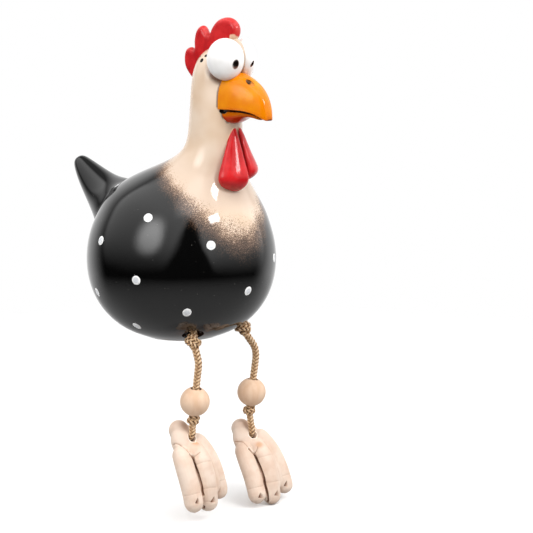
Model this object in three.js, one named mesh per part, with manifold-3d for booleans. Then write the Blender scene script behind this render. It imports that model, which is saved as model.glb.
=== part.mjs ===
// A glazed ceramic hen that sits on a ledge with its rope legs hanging over the edge.
// Millimetres, +Z up. The hen looks along -Y and its left side is +X.
// The origin is the middle of the flat base that it sits on.
import * as THREE from 'three';
import { LoftGeometry } from 'three/addons/geometries/LoftGeometry.js';
import { mergeVertices } from 'three/addons/utils/BufferGeometryUtils.js';
import Module from 'manifold-3d';

const wasm = await Module();
wasm.setup();

// Body
const GAP = 0.3;
const BODY_SIDES = 34;
const WALL = 5;
const BALL_RADIUS = 64;
const EQUATOR_Z = 52;
const BALL_DROP = 56;
const LOWER_FULLNESS = 2.2;
const BALL_TOP_Z = 78;
const BASE_EDGE = 1.4;
const BASE_CHAMFER = 1.2;
const CAVITY_TOP_Z = 172;
const CAVITY_FLOOR_Z = 5;
const BODY_RING_HEIGHTS = [
  5, 11, 19, 29, 40, 52, 64, 75, 85, 93, 100, 106, 111, 116, 121, 126,
  132, 142, 155, 167, 175, 181, 185.5, 189, 191.2, 192.2,
];
const CAVITY_RING_HEIGHTS = [CAVITY_FLOOR_Z, 10, 19, 31, 45, 60, 74, 86, 97, 106, 114, 122, 131, 150, CAVITY_TOP_Z];
const BLEND_STEP = 6;

// Sections of the shoulder, neck and head: height, half width, front and back ahead of the ball's axis
const SHOULDER_TO_CROWN = [
  { z: 85, half: 55.2, front: 56.8, back: -54.8 },
  { z: 91, half: 51.4, front: 53.6, back: -50.7 },
  { z: 97, half: 46.6, front: 50.8, back: -46 },
  { z: 103, half: 40.6, front: 48.8, back: -38.5 },
  { z: 109, half: 33.2, front: 47.6, back: -28 },
  { z: 115, half: 26.6, front: 47.2, back: -14 },
  { z: 121, half: 21.8, front: 47, back: 0 },
  { z: 127, half: 18.9, front: 47.2, back: 8.2 },
  { z: 134, half: 17.5, front: 47.7, back: 11.8 },
  { z: 146, half: 17.2, front: 48.1, back: 13 },
  { z: 158, half: 16.6, front: 47.4, back: 13.9 },
  { z: 168, half: 16, front: 46.8, back: 14.8 },
  { z: 176, half: 15.2, front: 46, back: 16 },
  { z: 182, half: 13.6, front: 44.8, back: 18 },
  { z: 187, half: 10.8, front: 42.4, back: 21.2 },
  { z: 190.4, half: 7.2, front: 38.6, back: 25.2 },
];
const CROWN_TOP = { z: 192.4, half: 2.4, front: 34.6, back: 30.6 };
const BROW = { ahead: 44, z: 186, half: 5.4, depth: 11.3, height: 14.6 };

// Tail, along the line from inside the ball to the tip: ahead of the axis, height, radius
const TAIL = [
  { ahead: -30, z: 72, radius: 33 },
  { ahead: -46, z: 80, radius: 28.5 },
  { ahead: -59, z: 86.5, radius: 21.5 },
  { ahead: -70, z: 92, radius: 15.8 },
  { ahead: -79, z: 97.5, radius: 11.6 },
  { ahead: -87, z: 103.5, radius: 7.9 },
  { ahead: -93, z: 109, radius: 4.8 },
  { ahead: -96.6, z: 113, radius: 2.4 },
];

// Comb, as its outline on the middle plane
const COMB_THICKNESS = 7.6;
const COMB_EDGE = 2.6;
const COMB_OUTLINE = [
  [15, 171], [11.8, 174.4], [7.8, 179.6], [6.2, 186], [7.4, 190.6], [10.8, 192], [14, 191.2],
  [14.2, 196.6], [15.8, 202.4], [19, 205.6], [22.6, 205.4], [26.4, 200.6],
  [29.6, 205.4], [34, 209.4], [39.8, 211], [45, 210], [48.6, 207], [49.8, 203.4], [47.6, 200],
  [40, 194], [30, 184],
];

// Eyes: flattened balls that face half sideways
const EYE = { across: 9.5, ahead: 46.5, z: 184.7, half: 12, height: 13.3, thick: 7.2, yaw: 45 };
const PUPIL = { radius: 2, depth: 1.6, across: 6.2, down: 3.4 };

// Beak halves, as sections ahead of the ball's axis
const UPPER_BEAK = [
  { ahead: 36, top: 176, bottom: 152.6, half: 12 },
  { ahead: 43, top: 177.4, bottom: 152.6, half: 12.4 },
  { ahead: 50, top: 177.2, bottom: 152.6, half: 12 },
  { ahead: 56, top: 175, bottom: 152.5, half: 11 },
  { ahead: 61, top: 172.5, bottom: 151.9, half: 9.6 },
  { ahead: 65.6, top: 169.4, bottom: 150.8, half: 8.1 },
  { ahead: 69.8, top: 165.2, bottom: 148.8, half: 6.5 },
  { ahead: 72.8, top: 160, bottom: 146.8, half: 4.9 },
  { ahead: 74.3, top: 155, bottom: 146.3, half: 3.3 },
  { ahead: 74.9, top: 151.8, bottom: 147.4, half: 1.8 },
];
const BEAK_LIP = { share: 0.2, most: 3 };
const BEAK_SQUARENESS = 0.07;
const LOWER_BEAK = [
  { ahead: 37, top: 152.1, bottom: 144.8, half: 10.2 },
  { ahead: 44, top: 152.1, bottom: 143.6, half: 10.6 },
  { ahead: 49, top: 152.1, bottom: 143.8, half: 9.8 },
  { ahead: 53, top: 152, bottom: 145.8, half: 9 },
  { ahead: 57.5, top: 151.7, bottom: 148, half: 7.8 },
  { ahead: 62, top: 151, bottom: 148.2, half: 6.6 },
  { ahead: 66, top: 150, bottom: 147.2, half: 5.2 },
  { ahead: 68.8, top: 148.7, bottom: 146.4, half: 3.6 },
];

// Wattles: drops that hang against the front of the neck
const WATTLE = { top: 142, rightBottom: 99.4, leftBottom: 105.4, root: 45.4, lean: 0.77, turn: 35 };
const WATTLE_PARTING = 1;
const WATTLE_ROWS = [
  { t: 0.012, half: 2.1, thick: 2.2 },
  { t: 0.05, half: 5.2, thick: 3.5 },
  { t: 0.11, half: 8.1, thick: 4.4 },
  { t: 0.18, half: 9.9, thick: 4.8 },
  { t: 0.26, half: 10.3, thick: 4.7 },
  { t: 0.36, half: 9.3, thick: 4.1 },
  { t: 0.48, half: 7.7, thick: 3.5 },
  { t: 0.64, half: 5.8, thick: 2.7 },
  { t: 0.8, half: 4, thick: 2.1 },
  { t: 0.93, half: 2.3, thick: 1.6 },
  { t: 0.99, half: 1.1, thick: 1.1 },
];

// Legs
const ROPE_RADIUS = 2.75;
const HOLE_RADIUS = 4.6;
const RECESS_RADIUS = 6.8;
const RECESS_RISE = 4;
const HIP_KNOT_RADIUS = 6.1;
const KNEE_KNOT_RADIUS = 5.6;
const KNEE_KNOT_HALF_HEIGHT = 4.3;
const STOPPER_RADIUS = 4.4;
const SEAT_CLEARANCE = 0.9;
const LOWER_ROPE_STOP = 2;
const STUB_DEPTH = 2.2;
const INNER_LOOP_Z = 34;
const INNER_LOOP_SET_BACK = 3;
const BEAD_RADIUS = 9.8;
const BEAD_BORE_RADIUS = 3.3;

// Where each leg's rope runs, as sideways, ahead and height
const RIGHT_LEG = {
  side: 'right',
  hip: [-26, 31.6, 3],
  bow: [[-26, 34.4, -4.6], [-26, 35.9, -10.5], [-26, 35.6, -16]],
  straight: [-26, 35, -19.6],
  bead: [-26.1, 32.7, -37.2],
  knee: [-26.2, 31, -50],
  ankle: [-25.9, 29.5, -62.3],
  footYaw: 5.5,
  footDrop: 66,
};
const LEFT_LEG = {
  side: 'left',
  hip: [26, 31.6, 3],
  bow: [[28.8, 34.6, -4], [31.8, 37, -10], [32.6, 37.8, -16]],
  straight: [32.2, 37.5, -22],
  bead: [29.9, 36.1, -42.2],
  knee: [28.4, 35.2, -55],
  ankle: [29, 37.5, -71.9],
  footYaw: -5,
  footDrop: 59.3,
};

// Foot: u runs to the toes, v to the hen's left and n out of the instep, from the bore's mouth
const FOOT_BORE_RADIUS = 3.3;
const STOPPER_DEPTH = 10;
const FOOT_PAD = { u: 1.2, v: 1, n: -6.6, half: [11.6, 10.9, 6.9] };
const MIDDLE_TOE = [[3, 0, -5.6], [16, 0, 1.3], [32, 0, -0.2], [49.2, 0, -7.4]];
const SIDE_TOE = [[3, 6.8, -6.6], [15, 10.6, -3.8], [30, 11.3, -4.2], [45.6, 12.4, -6.6]];
const BACK_TOE = [[5, 0, -7.6], [-3, 0, -7.8], [-11.8, 0, -8.2]];
const TOE_RADIUS = 6.1;
const BACK_TOE_RADIUS = 5.6;

const colours = {
  glazeBlack: [0x17130f, 0.12],
  glazeRed: [0xc4161b, 0.15],
  glazeWhite: [0xf0efec, 0.2],
  glazeYellow: [0xf0920a, 0.15],
  bisque: [0xdcc0a6, 0.75],
  wood: [0xe0b893, 0.6],
  rope: [0xa47e50, 0.85],
};

const object = new THREE.Group();

function at(across, ahead, z) {
  return new THREE.Vector3(across, -ahead, z);
}

function add(name, geometry, colour) {
  const [color, roughness] = colours[colour];
  const mesh = new THREE.Mesh(geometry, new THREE.MeshStandardMaterial({ color, roughness, metalness: 0 }));
  mesh.name = name;
  object.add(mesh);
}

function solid(geometry) {
  const bare = new THREE.BufferGeometry();
  bare.setAttribute('position', geometry.attributes.position);
  if (geometry.index) bare.setIndex(geometry.index);
  const merged = mergeVertices(bare, 1e-4);
  const triVerts = Uint32Array.from(merged.index.array);
  const vertProperties = Float32Array.from(merged.attributes.position.array);
  return new wasm.Manifold(new wasm.Mesh({ numProp: 3, vertProperties, triVerts }));
}

function geometryOf(body) {
  const mesh = body.getMesh();
  const geometry = new THREE.BufferGeometry();
  geometry.setAttribute('position', new THREE.BufferAttribute(Float32Array.from(mesh.vertProperties), 3));
  geometry.setIndex(new THREE.BufferAttribute(Uint32Array.from(mesh.triVerts), 1));
  return geometry;
}

function joined(bodies) {
  return bodies.reduce((whole, body) => whole.add(body));
}

function cutBy(body, tools) {
  return tools.reduce((rest, tool) => rest.subtract(tool), body);
}

// A value read off a list of rows by a smooth curve through them
function along(rows, key, value, step) {
  const last = rows.length - 1;
  let i = 0;
  while (i < last - 1 && rows[i + 1][step] < value) i += 1;
  const before = rows[Math.max(i - 1, 0)];
  const after = rows[Math.min(i + 2, last)];
  const from = rows[i];
  const to = rows[i + 1];
  const span = to[step] - from[step];
  const t = (value - from[step]) / span;
  const slopeFrom = (to[key] - before[key]) / (to[step] - before[step]) * span;
  const slopeTo = (after[key] - from[key]) / (after[step] - from[step]) * span;
  const t2 = t * t;
  const t3 = t2 * t;
  return (2 * t3 - 3 * t2 + 1) * from[key] + (t3 - 2 * t2 + t) * slopeFrom
    + (3 * t2 - 2 * t3) * to[key] + (t3 - t2) * slopeTo;
}

// A ring of points about a middle, counterclockwise seen from the end that the axis points to
function ring(middle, one, two, count, shape = () => [1, 1]) {
  const points = [];
  for (let i = 0; i < count; i += 1) {
    const angle = i / count * Math.PI * 2;
    const [a, b] = shape(angle);
    const point = middle.clone();
    point.addScaledVector(one, Math.cos(angle) * a);
    point.addScaledVector(two, Math.sin(angle) * b);
    points.push(point);
  }
  return points;
}

function loft(sections) {
  return solid(new LoftGeometry(sections, { closed: true, capStart: true, capEnd: true }));
}

// The ball: a full underside and a round top
function ballRadius(z, inset) {
  const radius = BALL_RADIUS - inset;
  const height = z - EQUATOR_Z;
  if (height >= 0) return Math.sqrt(radius * radius - height * height);
  const drop = Math.min(-height / (BALL_DROP - inset), 1);
  return radius * Math.pow(1 - Math.pow(drop, LOWER_FULLNESS), 1 / LOWER_FULLNESS);
}

function bodySection(z, inset) {
  if (z <= BALL_TOP_Z) {
    const radius = ballRadius(z, inset);
    return { half: radius, front: radius, back: -radius };
  }
  const edge = ballRadius(BALL_TOP_Z, 0);
  const under = ballRadius(BALL_TOP_Z - BLEND_STEP, 0);
  const rows = [
    { z: BALL_TOP_Z - BLEND_STEP, half: under, front: under, back: -under },
    { z: BALL_TOP_Z, half: edge, front: edge, back: -edge },
    ...SHOULDER_TO_CROWN,
    CROWN_TOP,
  ];
  return {
    half: along(rows, 'half', z, 'z') - inset,
    front: along(rows, 'front', z, 'z') - inset,
    back: along(rows, 'back', z, 'z') + inset,
  };
}

function bodyRing(z, section, count) {
  const middle = at(0, (section.front + section.back) / 2, z);
  const depth = (section.front - section.back) / 2;
  return ring(middle, new THREE.Vector3(section.half, 0, 0), new THREE.Vector3(0, depth, 0), count);
}

function bodyForm(inset, count) {
  const flat = ballRadius(0, inset) - BASE_EDGE;
  const edge = ballRadius(BASE_EDGE, inset) - 0.1;
  const base = [
    [inset, flat],
    [BASE_EDGE * 0.3 + inset, flat + BASE_CHAMFER],
    [BASE_EDGE + inset, edge],
  ];
  const rings = base.map(([z, radius]) => bodyRing(z, { half: radius, front: radius, back: -radius }, count));
  for (const z of BODY_RING_HEIGHTS) rings.push(bodyRing(z, bodySection(z, inset), count));
  return loft(rings);
}

function cavity() {
  return loft(CAVITY_RING_HEIGHTS.map((z) => bodyRing(z, bodySection(z, WALL), 18)));
}

// A run of round sections along a line that stays in a plane across the given side direction
function horn(points, radii, side, count) {
  const curve = new THREE.CatmullRomCurve3(points);
  const rings = points.map((point, i) => {
    const forward = curve.getTangent(i / (points.length - 1));
    const one = side.clone().addScaledVector(forward, -side.dot(forward)).normalize();
    const two = new THREE.Vector3().crossVectors(forward, one);
    return ring(point, one.multiplyScalar(radii[i]), two.multiplyScalar(radii[i]), count);
  });
  return loft(rings);
}

function tail(inset) {
  const points = TAIL.map((row) => at(0, row.ahead, row.z));
  const radii = TAIL.map((row) => row.radius - inset);
  return horn(points, radii, new THREE.Vector3(1, 0, 0), 20);
}

function ellipsoid(middle, half, yaw, detail) {
  const geometry = new THREE.SphereGeometry(1, detail, Math.round(detail * 0.6));
  geometry.rotateX(Math.PI / 2);
  geometry.scale(half[0], half[1], half[2]);
  geometry.rotateZ(THREE.MathUtils.degToRad(yaw));
  geometry.translate(middle.x, middle.y, middle.z);
  return geometry;
}

function brow(inset) {
  const half = [BROW.half - inset, BROW.depth - inset, BROW.height - inset];
  return solid(ellipsoid(at(0, BROW.ahead, BROW.z), half, 0, 16));
}

function outerForm(inset, count) {
  return joined([bodyForm(inset, count), tail(inset), brow(inset)]);
}

function post(radius, bottom, top, sides) {
  const geometry = new THREE.CylinderGeometry(radius, radius, top.distanceTo(bottom), sides);
  geometry.rotateX(Math.PI / 2);
  const turn = new THREE.Quaternion();
  turn.setFromUnitVectors(new THREE.Vector3(0, 0, 1), top.clone().sub(bottom).normalize());
  geometry.applyQuaternion(turn);
  const middle = top.clone().add(bottom).multiplyScalar(0.5);
  geometry.translate(middle.x, middle.y, middle.z);
  return solid(geometry);
}

function ball(middle, radius, detail) {
  return solid(ellipsoid(middle, [radius, radius, radius], 0, detail));
}

function bodyShell() {
  const tools = [cavity()];
  for (const leg of [RIGHT_LEG, LEFT_LEG]) {
    const hip = at(...leg.hip);
    tools.push(post(HOLE_RADIUS, hip, hip.clone().setZ(CAVITY_FLOOR_Z + 14), 16));
    tools.push(ball(hip, HIP_KNOT_RADIUS + SEAT_CLEARANCE, 16));
    tools.push(ball(hip.clone().setZ(leg.hip[2] + RECESS_RISE), RECESS_RADIUS, 16));
  }
  return cutBy(outerForm(0, BODY_SIDES), tools);
}

function eyeForm(side, grown) {
  const half = [EYE.half + grown, EYE.thick + grown, EYE.height + grown];
  return solid(ellipsoid(at(side * EYE.across, EYE.ahead, EYE.z), half, side * EYE.yaw, 18));
}

function pupil(side) {
  const turn = THREE.MathUtils.degToRad(side * EYE.yaw);
  const out = new THREE.Vector3(Math.sin(turn), -Math.cos(turn), 0);
  const sideways = new THREE.Vector3(-side * Math.cos(turn), -side * Math.sin(turn), 0);
  const middle = at(side * EYE.across, EYE.ahead, EYE.z - PUPIL.down).addScaledVector(sideways, PUPIL.across);
  const surface = EYE.thick * Math.sqrt(1 - (PUPIL.across / EYE.half) ** 2 - (PUPIL.down / EYE.height) ** 2);
  const bottom = middle.clone().addScaledVector(out, surface - PUPIL.depth);
  const top = middle.clone().addScaledVector(out, surface + 3);
  return post(PUPIL.radius, bottom, top, 14);
}

function comb(neighbours) {
  const outline = COMB_OUTLINE.map(([ahead, z]) => new THREE.Vector2(ahead, z));
  const shape = new THREE.Shape(outline);
  const geometry = new THREE.ExtrudeGeometry(shape, {
    depth: COMB_THICKNESS - 2 * COMB_EDGE,
    bevelThickness: COMB_EDGE,
    bevelSize: COMB_EDGE,
    bevelOffset: -COMB_EDGE,
    bevelSegments: 3,
  });
  geometry.translate(0, 0, COMB_EDGE - COMB_THICKNESS / 2);
  const upright = new THREE.Matrix4().makeBasis(at(0, 1, 0), at(0, 0, 1), new THREE.Vector3(-1, 0, 0));
  geometry.applyMatrix4(upright);
  return cutBy(solid(geometry), neighbours);
}

// A beak half: a loft forwards whose sections have a flat side where the halves meet
function beakHalf(rows, flatAtBottom, neighbours) {
  const rings = rows.map((row) => {
    const height = row.top - row.bottom;
    const lip = Math.min(height * BEAK_LIP.share, BEAK_LIP.most);
    const middle = at(0, row.ahead, flatAtBottom ? row.bottom + lip : row.top - lip);
    const shape = (angle) => {
      const upper = Math.sin(angle) > 0;
      const reach = upper === flatAtBottom ? height - lip : lip;
      const full = 1 + BEAK_SQUARENESS * Math.sin(2 * angle) ** 2;
      return [row.half * full, reach * full];
    };
    return ring(middle, new THREE.Vector3(1, 0, 0), new THREE.Vector3(0, 0, 1), 20, shape);
  });
  return cutBy(loft(rings), neighbours);
}

// The two drops hang side by side, parted at their roots and meeting where they are widest
function wattle(side, bottom, neighbours) {
  const turn = THREE.MathUtils.degToRad(WATTLE.turn);
  const rings = WATTLE_ROWS.map(({ t, half, thick }) => {
    const reach = Math.hypot(half * Math.cos(turn), thick * Math.sin(turn)) + GAP / 2 + WATTLE_PARTING * t;
    const middle = at(side * reach, WATTLE.root + WATTLE.lean * reach, bottom + (WATTLE.top - bottom) * t);
    const tangent = new THREE.Vector3(Math.cos(turn), side * Math.sin(turn), 0);
    const inward = new THREE.Vector3(-side * Math.sin(turn), Math.cos(turn), 0);
    return ring(middle, tangent.multiplyScalar(half), inward.multiplyScalar(thick), 16);
  });
  return cutBy(loft(rings), neighbours);
}

function tube(points, radius, sides, steps) {
  const curve = new THREE.CatmullRomCurve3(points);
  const outline = new THREE.Shape(ring(new THREE.Vector3(), new THREE.Vector3(radius, 0, 0),
    new THREE.Vector3(0, radius, 0), sides).map((point) => new THREE.Vector2(point.x, point.y)));
  return new THREE.ExtrudeGeometry(outline, { steps, extrudePath: curve });
}

// A knot: three bights of the rope about the knot's middle, drawn up tight
function knot(middle, size, turn, height) {
  const reach = size - ROPE_RADIUS;
  const bights = [];
  for (let i = 0; i < 3; i += 1) {
    const points = [];
    for (let j = 0; j <= 4; j += 1) {
      const angle = (i / 3 + (j - 2) / 9) * Math.PI * 2 + turn;
      const wave = Math.cos((j - 2) * 0.8);
      points.push(new THREE.Vector3(
        Math.cos(angle) * reach * 0.96,
        (j - 2) * reach * 0.3,
        Math.sin(angle) * reach * 0.96,
      ).multiplyScalar(0.86 + 0.14 * wave));
    }
    bights.push(solid(tube(points, ROPE_RADIUS * 0.94, 6, 3)));
  }
  bights.push(ball(new THREE.Vector3(), size * 0.84, 8));
  return joined(bights).scale([1, 1, height / size]).translate(middle.toArray());
}

function insideRope() {
  const [across, ahead, z] = LEFT_LEG.hip;
  const start = z + HIP_KNOT_RADIUS + GAP + 0.2;
  const arch = start + 8;
  const steps = 12;
  const points = [at(-across, ahead, start), at(-across, ahead, (start + arch) / 2)];
  for (let i = 0; i <= steps; i += 1) {
    const angle = i / steps * Math.PI;
    const rise = Math.sin(angle);
    points.push(at(-across * Math.cos(angle), ahead - INNER_LOOP_SET_BACK * rise, arch + (INNER_LOOP_Z - arch) * rise));
  }
  points.push(at(across, ahead, (start + arch) / 2), at(across, ahead, start));
  return tube(points, ROPE_RADIUS, 8, 18);
}

function lowerRope(leg, radius) {
  const knee = at(...leg.knee);
  const ankle = at(...leg.ankle);
  const shin = ankle.clone().sub(knee).normalize();
  const top = knee.clone().addScaledVector(shin, KNEE_KNOT_HALF_HEIGHT + GAP);
  const end = ankle.clone().addScaledVector(shin, -LOWER_ROPE_STOP);
  return tube([top, top.clone().lerp(end, 0.5), end], radius, 8, 2);
}

function addLeg(leg) {
  const hip = at(...leg.hip);
  const straight = at(...leg.straight);
  const bead = at(...leg.bead);
  const knee = at(...leg.knee);
  const bow = leg.bow.map((point) => at(...point));
  add(`${leg.side}_hip_knot`, geometryOf(knot(hip, HIP_KNOT_RADIUS, 0.5, HIP_KNOT_RADIUS)), 'rope');
  add(`${leg.side}_knee_knot`, geometryOf(knot(knee, KNEE_KNOT_RADIUS, 1.4, KNEE_KNOT_HALF_HEIGHT)), 'rope');

  const ropeTop = bow[0].clone().sub(hip).setLength(HIP_KNOT_RADIUS + GAP).add(hip);
  const ropeRun = bead.clone().sub(straight).normalize();
  const ropeEnd = knee.clone().addScaledVector(ropeRun, -KNEE_KNOT_HALF_HEIGHT - GAP);
  const upper = [ropeTop, ...bow, straight];
  for (let i = 1; i <= 4; i += 1) upper.push(straight.clone().lerp(ropeEnd, i / 4));
  add(`${leg.side}_upper_rope`, tube(upper, ROPE_RADIUS, 8, 14), 'rope');

  const bored = ball(bead, BEAD_RADIUS, 18);
  const boreTop = bead.clone().addScaledVector(ropeRun, -2 * BEAD_RADIUS);
  const boreEnd = bead.clone().addScaledVector(ropeRun, 2 * BEAD_RADIUS);
  const bore = post(BEAD_BORE_RADIUS, boreEnd, boreTop, 12);
  const seatReach = KNEE_KNOT_RADIUS + GAP;
  const seat = solid(ellipsoid(knee, [seatReach, seatReach, KNEE_KNOT_HALF_HEIGHT + GAP], 0, 12));
  add(`${leg.side}_bead`, geometryOf(cutBy(bored, [bore, seat])), 'wood');

  add(`${leg.side}_lower_rope`, lowerRope(leg, ROPE_RADIUS), 'rope');
}

// A finger with round ends, along a smooth line through points that are its bends
function finger(bends, radius, rows, sides) {
  const curve = new THREE.CatmullRomCurve3(bends.map((bend) => new THREE.Vector3(...bend)));
  const length = curve.getLength();
  const across = new THREE.Vector3(0, 1, 0);
  const rings = [];
  for (let i = 0; i <= rows; i += 1) {
    const t = 0.5 - 0.5 * Math.cos(Math.PI * (0.06 + 0.88 * i / rows));
    const middle = curve.getPointAt(t);
    const forward = curve.getTangentAt(t);
    const fromEnd = Math.min(t, 1 - t) * length / radius;
    const full = fromEnd < 1 ? Math.sqrt(1 - (1 - fromEnd) ** 2) : 1;
    const one = across.clone().addScaledVector(forward, -across.dot(forward)).setLength(radius * full);
    const two = new THREE.Vector3().crossVectors(forward, one);
    rings.push(ring(middle, one, two, sides));
  }
  return loft(rings);
}

function footForm() {
  return joined([
    solid(ellipsoid(new THREE.Vector3(FOOT_PAD.u, FOOT_PAD.v, FOOT_PAD.n), FOOT_PAD.half, 0, 14)),
    finger(MIDDLE_TOE, TOE_RADIUS, 8, 10),
    finger(SIDE_TOE, TOE_RADIUS, 8, 10),
    finger(SIDE_TOE.map(([u, v, n]) => [u, -v, n]), TOE_RADIUS, 8, 10),
    finger(BACK_TOE, BACK_TOE_RADIUS, 7, 10),
  ]);
}

function placeOfFoot(leg) {
  const drop = THREE.MathUtils.degToRad(leg.footDrop);
  const yaw = THREE.MathUtils.degToRad(leg.footYaw);
  const facing = new THREE.Vector3(Math.sin(yaw), -Math.cos(yaw), 0);
  const toes = facing.clone().multiplyScalar(Math.cos(drop)).setZ(-Math.sin(drop));
  const instep = facing.clone().multiplyScalar(Math.sin(drop)).setZ(Math.cos(drop));
  const across = new THREE.Vector3().crossVectors(instep, toes);
  const place = new THREE.Matrix4().makeBasis(toes, across, instep);
  place.setPosition(at(...leg.ankle));
  return place;
}

function addFoot(leg) {
  const bore = post(FOOT_BORE_RADIUS, new THREE.Vector3(0, 0, -20), new THREE.Vector3(0, 0, 10), 12);
  const pit = ball(new THREE.Vector3(0, 0, -STOPPER_DEPTH), STOPPER_RADIUS + GAP, 12);
  const form = geometryOf(cutBy(footForm(), [bore, pit]));
  form.applyMatrix4(placeOfFoot(leg));
  const foot = cutBy(solid(form), [solid(lowerRope(leg, FOOT_BORE_RADIUS))]);
  add(`${leg.side}_foot`, geometryOf(foot), 'bisque');

  const stubEnds = [STUB_DEPTH, STUB_DEPTH + 2.8, STOPPER_DEPTH].map((depth) => new THREE.Vector3(0, 0, -depth));
  const stub = solid(tube(stubEnds, ROPE_RADIUS, 8, 2));
  const stopper = knot(new THREE.Vector3(0, 0, -STOPPER_DEPTH), STOPPER_RADIUS, 0.3, STOPPER_RADIUS);
  const knotted = geometryOf(joined([stub, stopper]));
  knotted.applyMatrix4(placeOfFoot(leg));
  add(`${leg.side}_foot_knot`, knotted, 'rope');
}

const grown = outerForm(-GAP, BODY_SIDES);
const eyesGrown = [eyeForm(-1, GAP), eyeForm(1, GAP)];
add('body_shell', geometryOf(bodyShell()), 'glazeBlack');
add('comb', geometryOf(comb([grown, ...eyesGrown])), 'glazeRed');
for (const [name, side] of [['right_eye', -1], ['left_eye', 1]]) {
  const otherHalf = ellipsoid(at(-side * 40, EYE.ahead, EYE.z), [40 + GAP / 2, 60, 60], 0, 24);
  const neighbours = [grown, pupil(side), solid(otherHalf)];
  add(name, geometryOf(cutBy(eyeForm(side, 0), neighbours)), 'glazeWhite');
}
const upperBeak = beakHalf(UPPER_BEAK, true, [grown, ...eyesGrown]);
const lowerBeak = beakHalf(LOWER_BEAK, false, [grown]);
add('upper_beak', geometryOf(upperBeak), 'glazeYellow');
add('lower_beak', geometryOf(lowerBeak), 'glazeYellow');
add('right_wattle', geometryOf(wattle(-1, WATTLE.rightBottom, [grown])), 'glazeRed');
add('left_wattle', geometryOf(wattle(1, WATTLE.leftBottom, [grown])), 'glazeRed');
add('rope_inside', insideRope(), 'rope');
for (const leg of [RIGHT_LEG, LEFT_LEG]) {
  addLeg(leg);
  addFoot(leg);
}

export default object;
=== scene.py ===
import math
import random

import bmesh
import bpy
from mathutils import Matrix, Vector
from mathutils.bvhtree import BVHTree
from mathutils.kdtree import KDTree


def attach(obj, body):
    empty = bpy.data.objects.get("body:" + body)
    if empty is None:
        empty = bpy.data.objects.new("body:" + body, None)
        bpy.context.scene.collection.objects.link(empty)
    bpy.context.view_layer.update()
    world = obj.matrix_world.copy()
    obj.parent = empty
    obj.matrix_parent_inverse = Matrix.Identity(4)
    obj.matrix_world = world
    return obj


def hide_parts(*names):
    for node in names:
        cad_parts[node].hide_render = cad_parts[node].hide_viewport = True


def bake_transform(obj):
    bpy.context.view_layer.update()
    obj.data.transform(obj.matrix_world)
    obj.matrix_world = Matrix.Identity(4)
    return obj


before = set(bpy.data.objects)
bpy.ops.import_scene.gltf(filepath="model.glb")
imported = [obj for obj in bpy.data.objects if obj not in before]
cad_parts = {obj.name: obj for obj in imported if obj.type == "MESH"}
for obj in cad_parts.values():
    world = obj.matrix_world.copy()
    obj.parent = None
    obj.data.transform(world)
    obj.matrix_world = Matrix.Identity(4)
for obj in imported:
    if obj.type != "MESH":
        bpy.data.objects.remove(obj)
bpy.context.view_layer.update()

MM = 0.001
FLOOR_Z = -117.8

# Camera: where the photograph was taken from
CAMERA_PLACE = (-0.67924, -0.59045, 0.20174)
CAMERA_RIGHT = (0.60680, -0.79485, 0.0)
CAMERA_UP = (0.13610, 0.10390, 0.98523)
CAMERA_FORWARD = (0.78311, 0.59784, -0.17122)
FOCAL_PIXELS = 1349.3
FRAME_PIXELS = 533
SENSOR = 36

# Rope and legs, the same values as the part's source, in millimetres: across, ahead, height
BEAD_RADIUS = 9.8
BEAD_BORE_RADIUS = 3.3
STOPPER_DEPTH = 10
STOPPER_RADIUS = 4.4
RIGHT_LEG = {
    "side": "right",
    "hip": (-26, 31.6, 3),
    "bow": [(-26, 34.4, -4.6), (-26, 35.9, -10.5), (-26, 35.6, -16)],
    "straight": (-26, 35, -19.6),
    "bead": (-26.1, 32.7, -37.2),
    "knee": (-26.2, 31, -50),
    "ankle": (-25.9, 29.5, -62.3),
    "foot_yaw": 5.5,
    "foot_drop": 66,
    "knot_turn": 0.9,
}
LEFT_LEG = {
    "side": "left",
    "hip": (26, 31.6, 3),
    "bow": [(28.8, 34.6, -4), (31.8, 37, -10), (32.6, 37.8, -16)],
    "straight": (32.2, 37.5, -22),
    "bead": (29.9, 36.1, -42.2),
    "knee": (28.4, 35.2, -55),
    "ankle": (29, 37.5, -71.9),
    "foot_yaw": -5,
    "foot_drop": 59.3,
    "knot_turn": 2.6,
}


def mm(*values):
    """A point or a step in metres, from millimetres along X, Y and Z."""
    return Vector(values) * MM


def place(across, ahead, z):
    """A point in metres, from millimetres across to the hen's left, ahead of its axis, and up."""
    return mm(across, -ahead, z)


def bell(distance, width):
    """1 at no distance, falling smoothly to nothing a few widths away."""
    return math.exp(-(distance / width) ** 2)


# ---------- making by hand ----------

def only(*objects):
    bpy.ops.object.select_all(action="DESELECT")
    for obj in objects:
        obj.select_set(True)
    bpy.context.view_layer.objects.active = objects[0]


def editing(obj):
    only(obj)
    bpy.ops.object.mode_set(mode="EDIT")


def done_editing(outward=False, filled=False):
    """Leaves edit mode, and before that fills open edges or turns all faces outward, where asked."""
    if filled:
        bpy.ops.mesh.select_all(action="SELECT")
        bpy.ops.mesh.fill_holes(sides=0)
    if outward or filled:
        bpy.ops.mesh.select_all(action="SELECT")
        bpy.ops.mesh.normals_make_consistent(inside=False)
    bpy.ops.object.mode_set(mode="OBJECT")


def added(kind, **settings):
    """A new simple mesh, selected alone."""
    bpy.ops.object.select_all(action="DESELECT")
    getattr(bpy.ops.mesh, f"primitive_{kind}_add")(**settings)
    return bpy.context.active_object


def modified(obj, kind, **settings):
    only(obj)
    modifier = obj.modifiers.new(kind, kind)
    for key, value in settings.items():
        setattr(modifier, key, value)
    bpy.ops.object.modifier_apply(modifier=modifier.name)
    return obj


def rounded(obj, levels=2):
    return modified(obj, "SUBSURF", levels=levels, render_levels=levels)


def cut(obj, *others, operation="DIFFERENCE"):
    for other in others:
        modified(obj, "BOOLEAN", operation=operation, object=other, solver="EXACT")
        bpy.data.objects.remove(other)
    return obj


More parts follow.
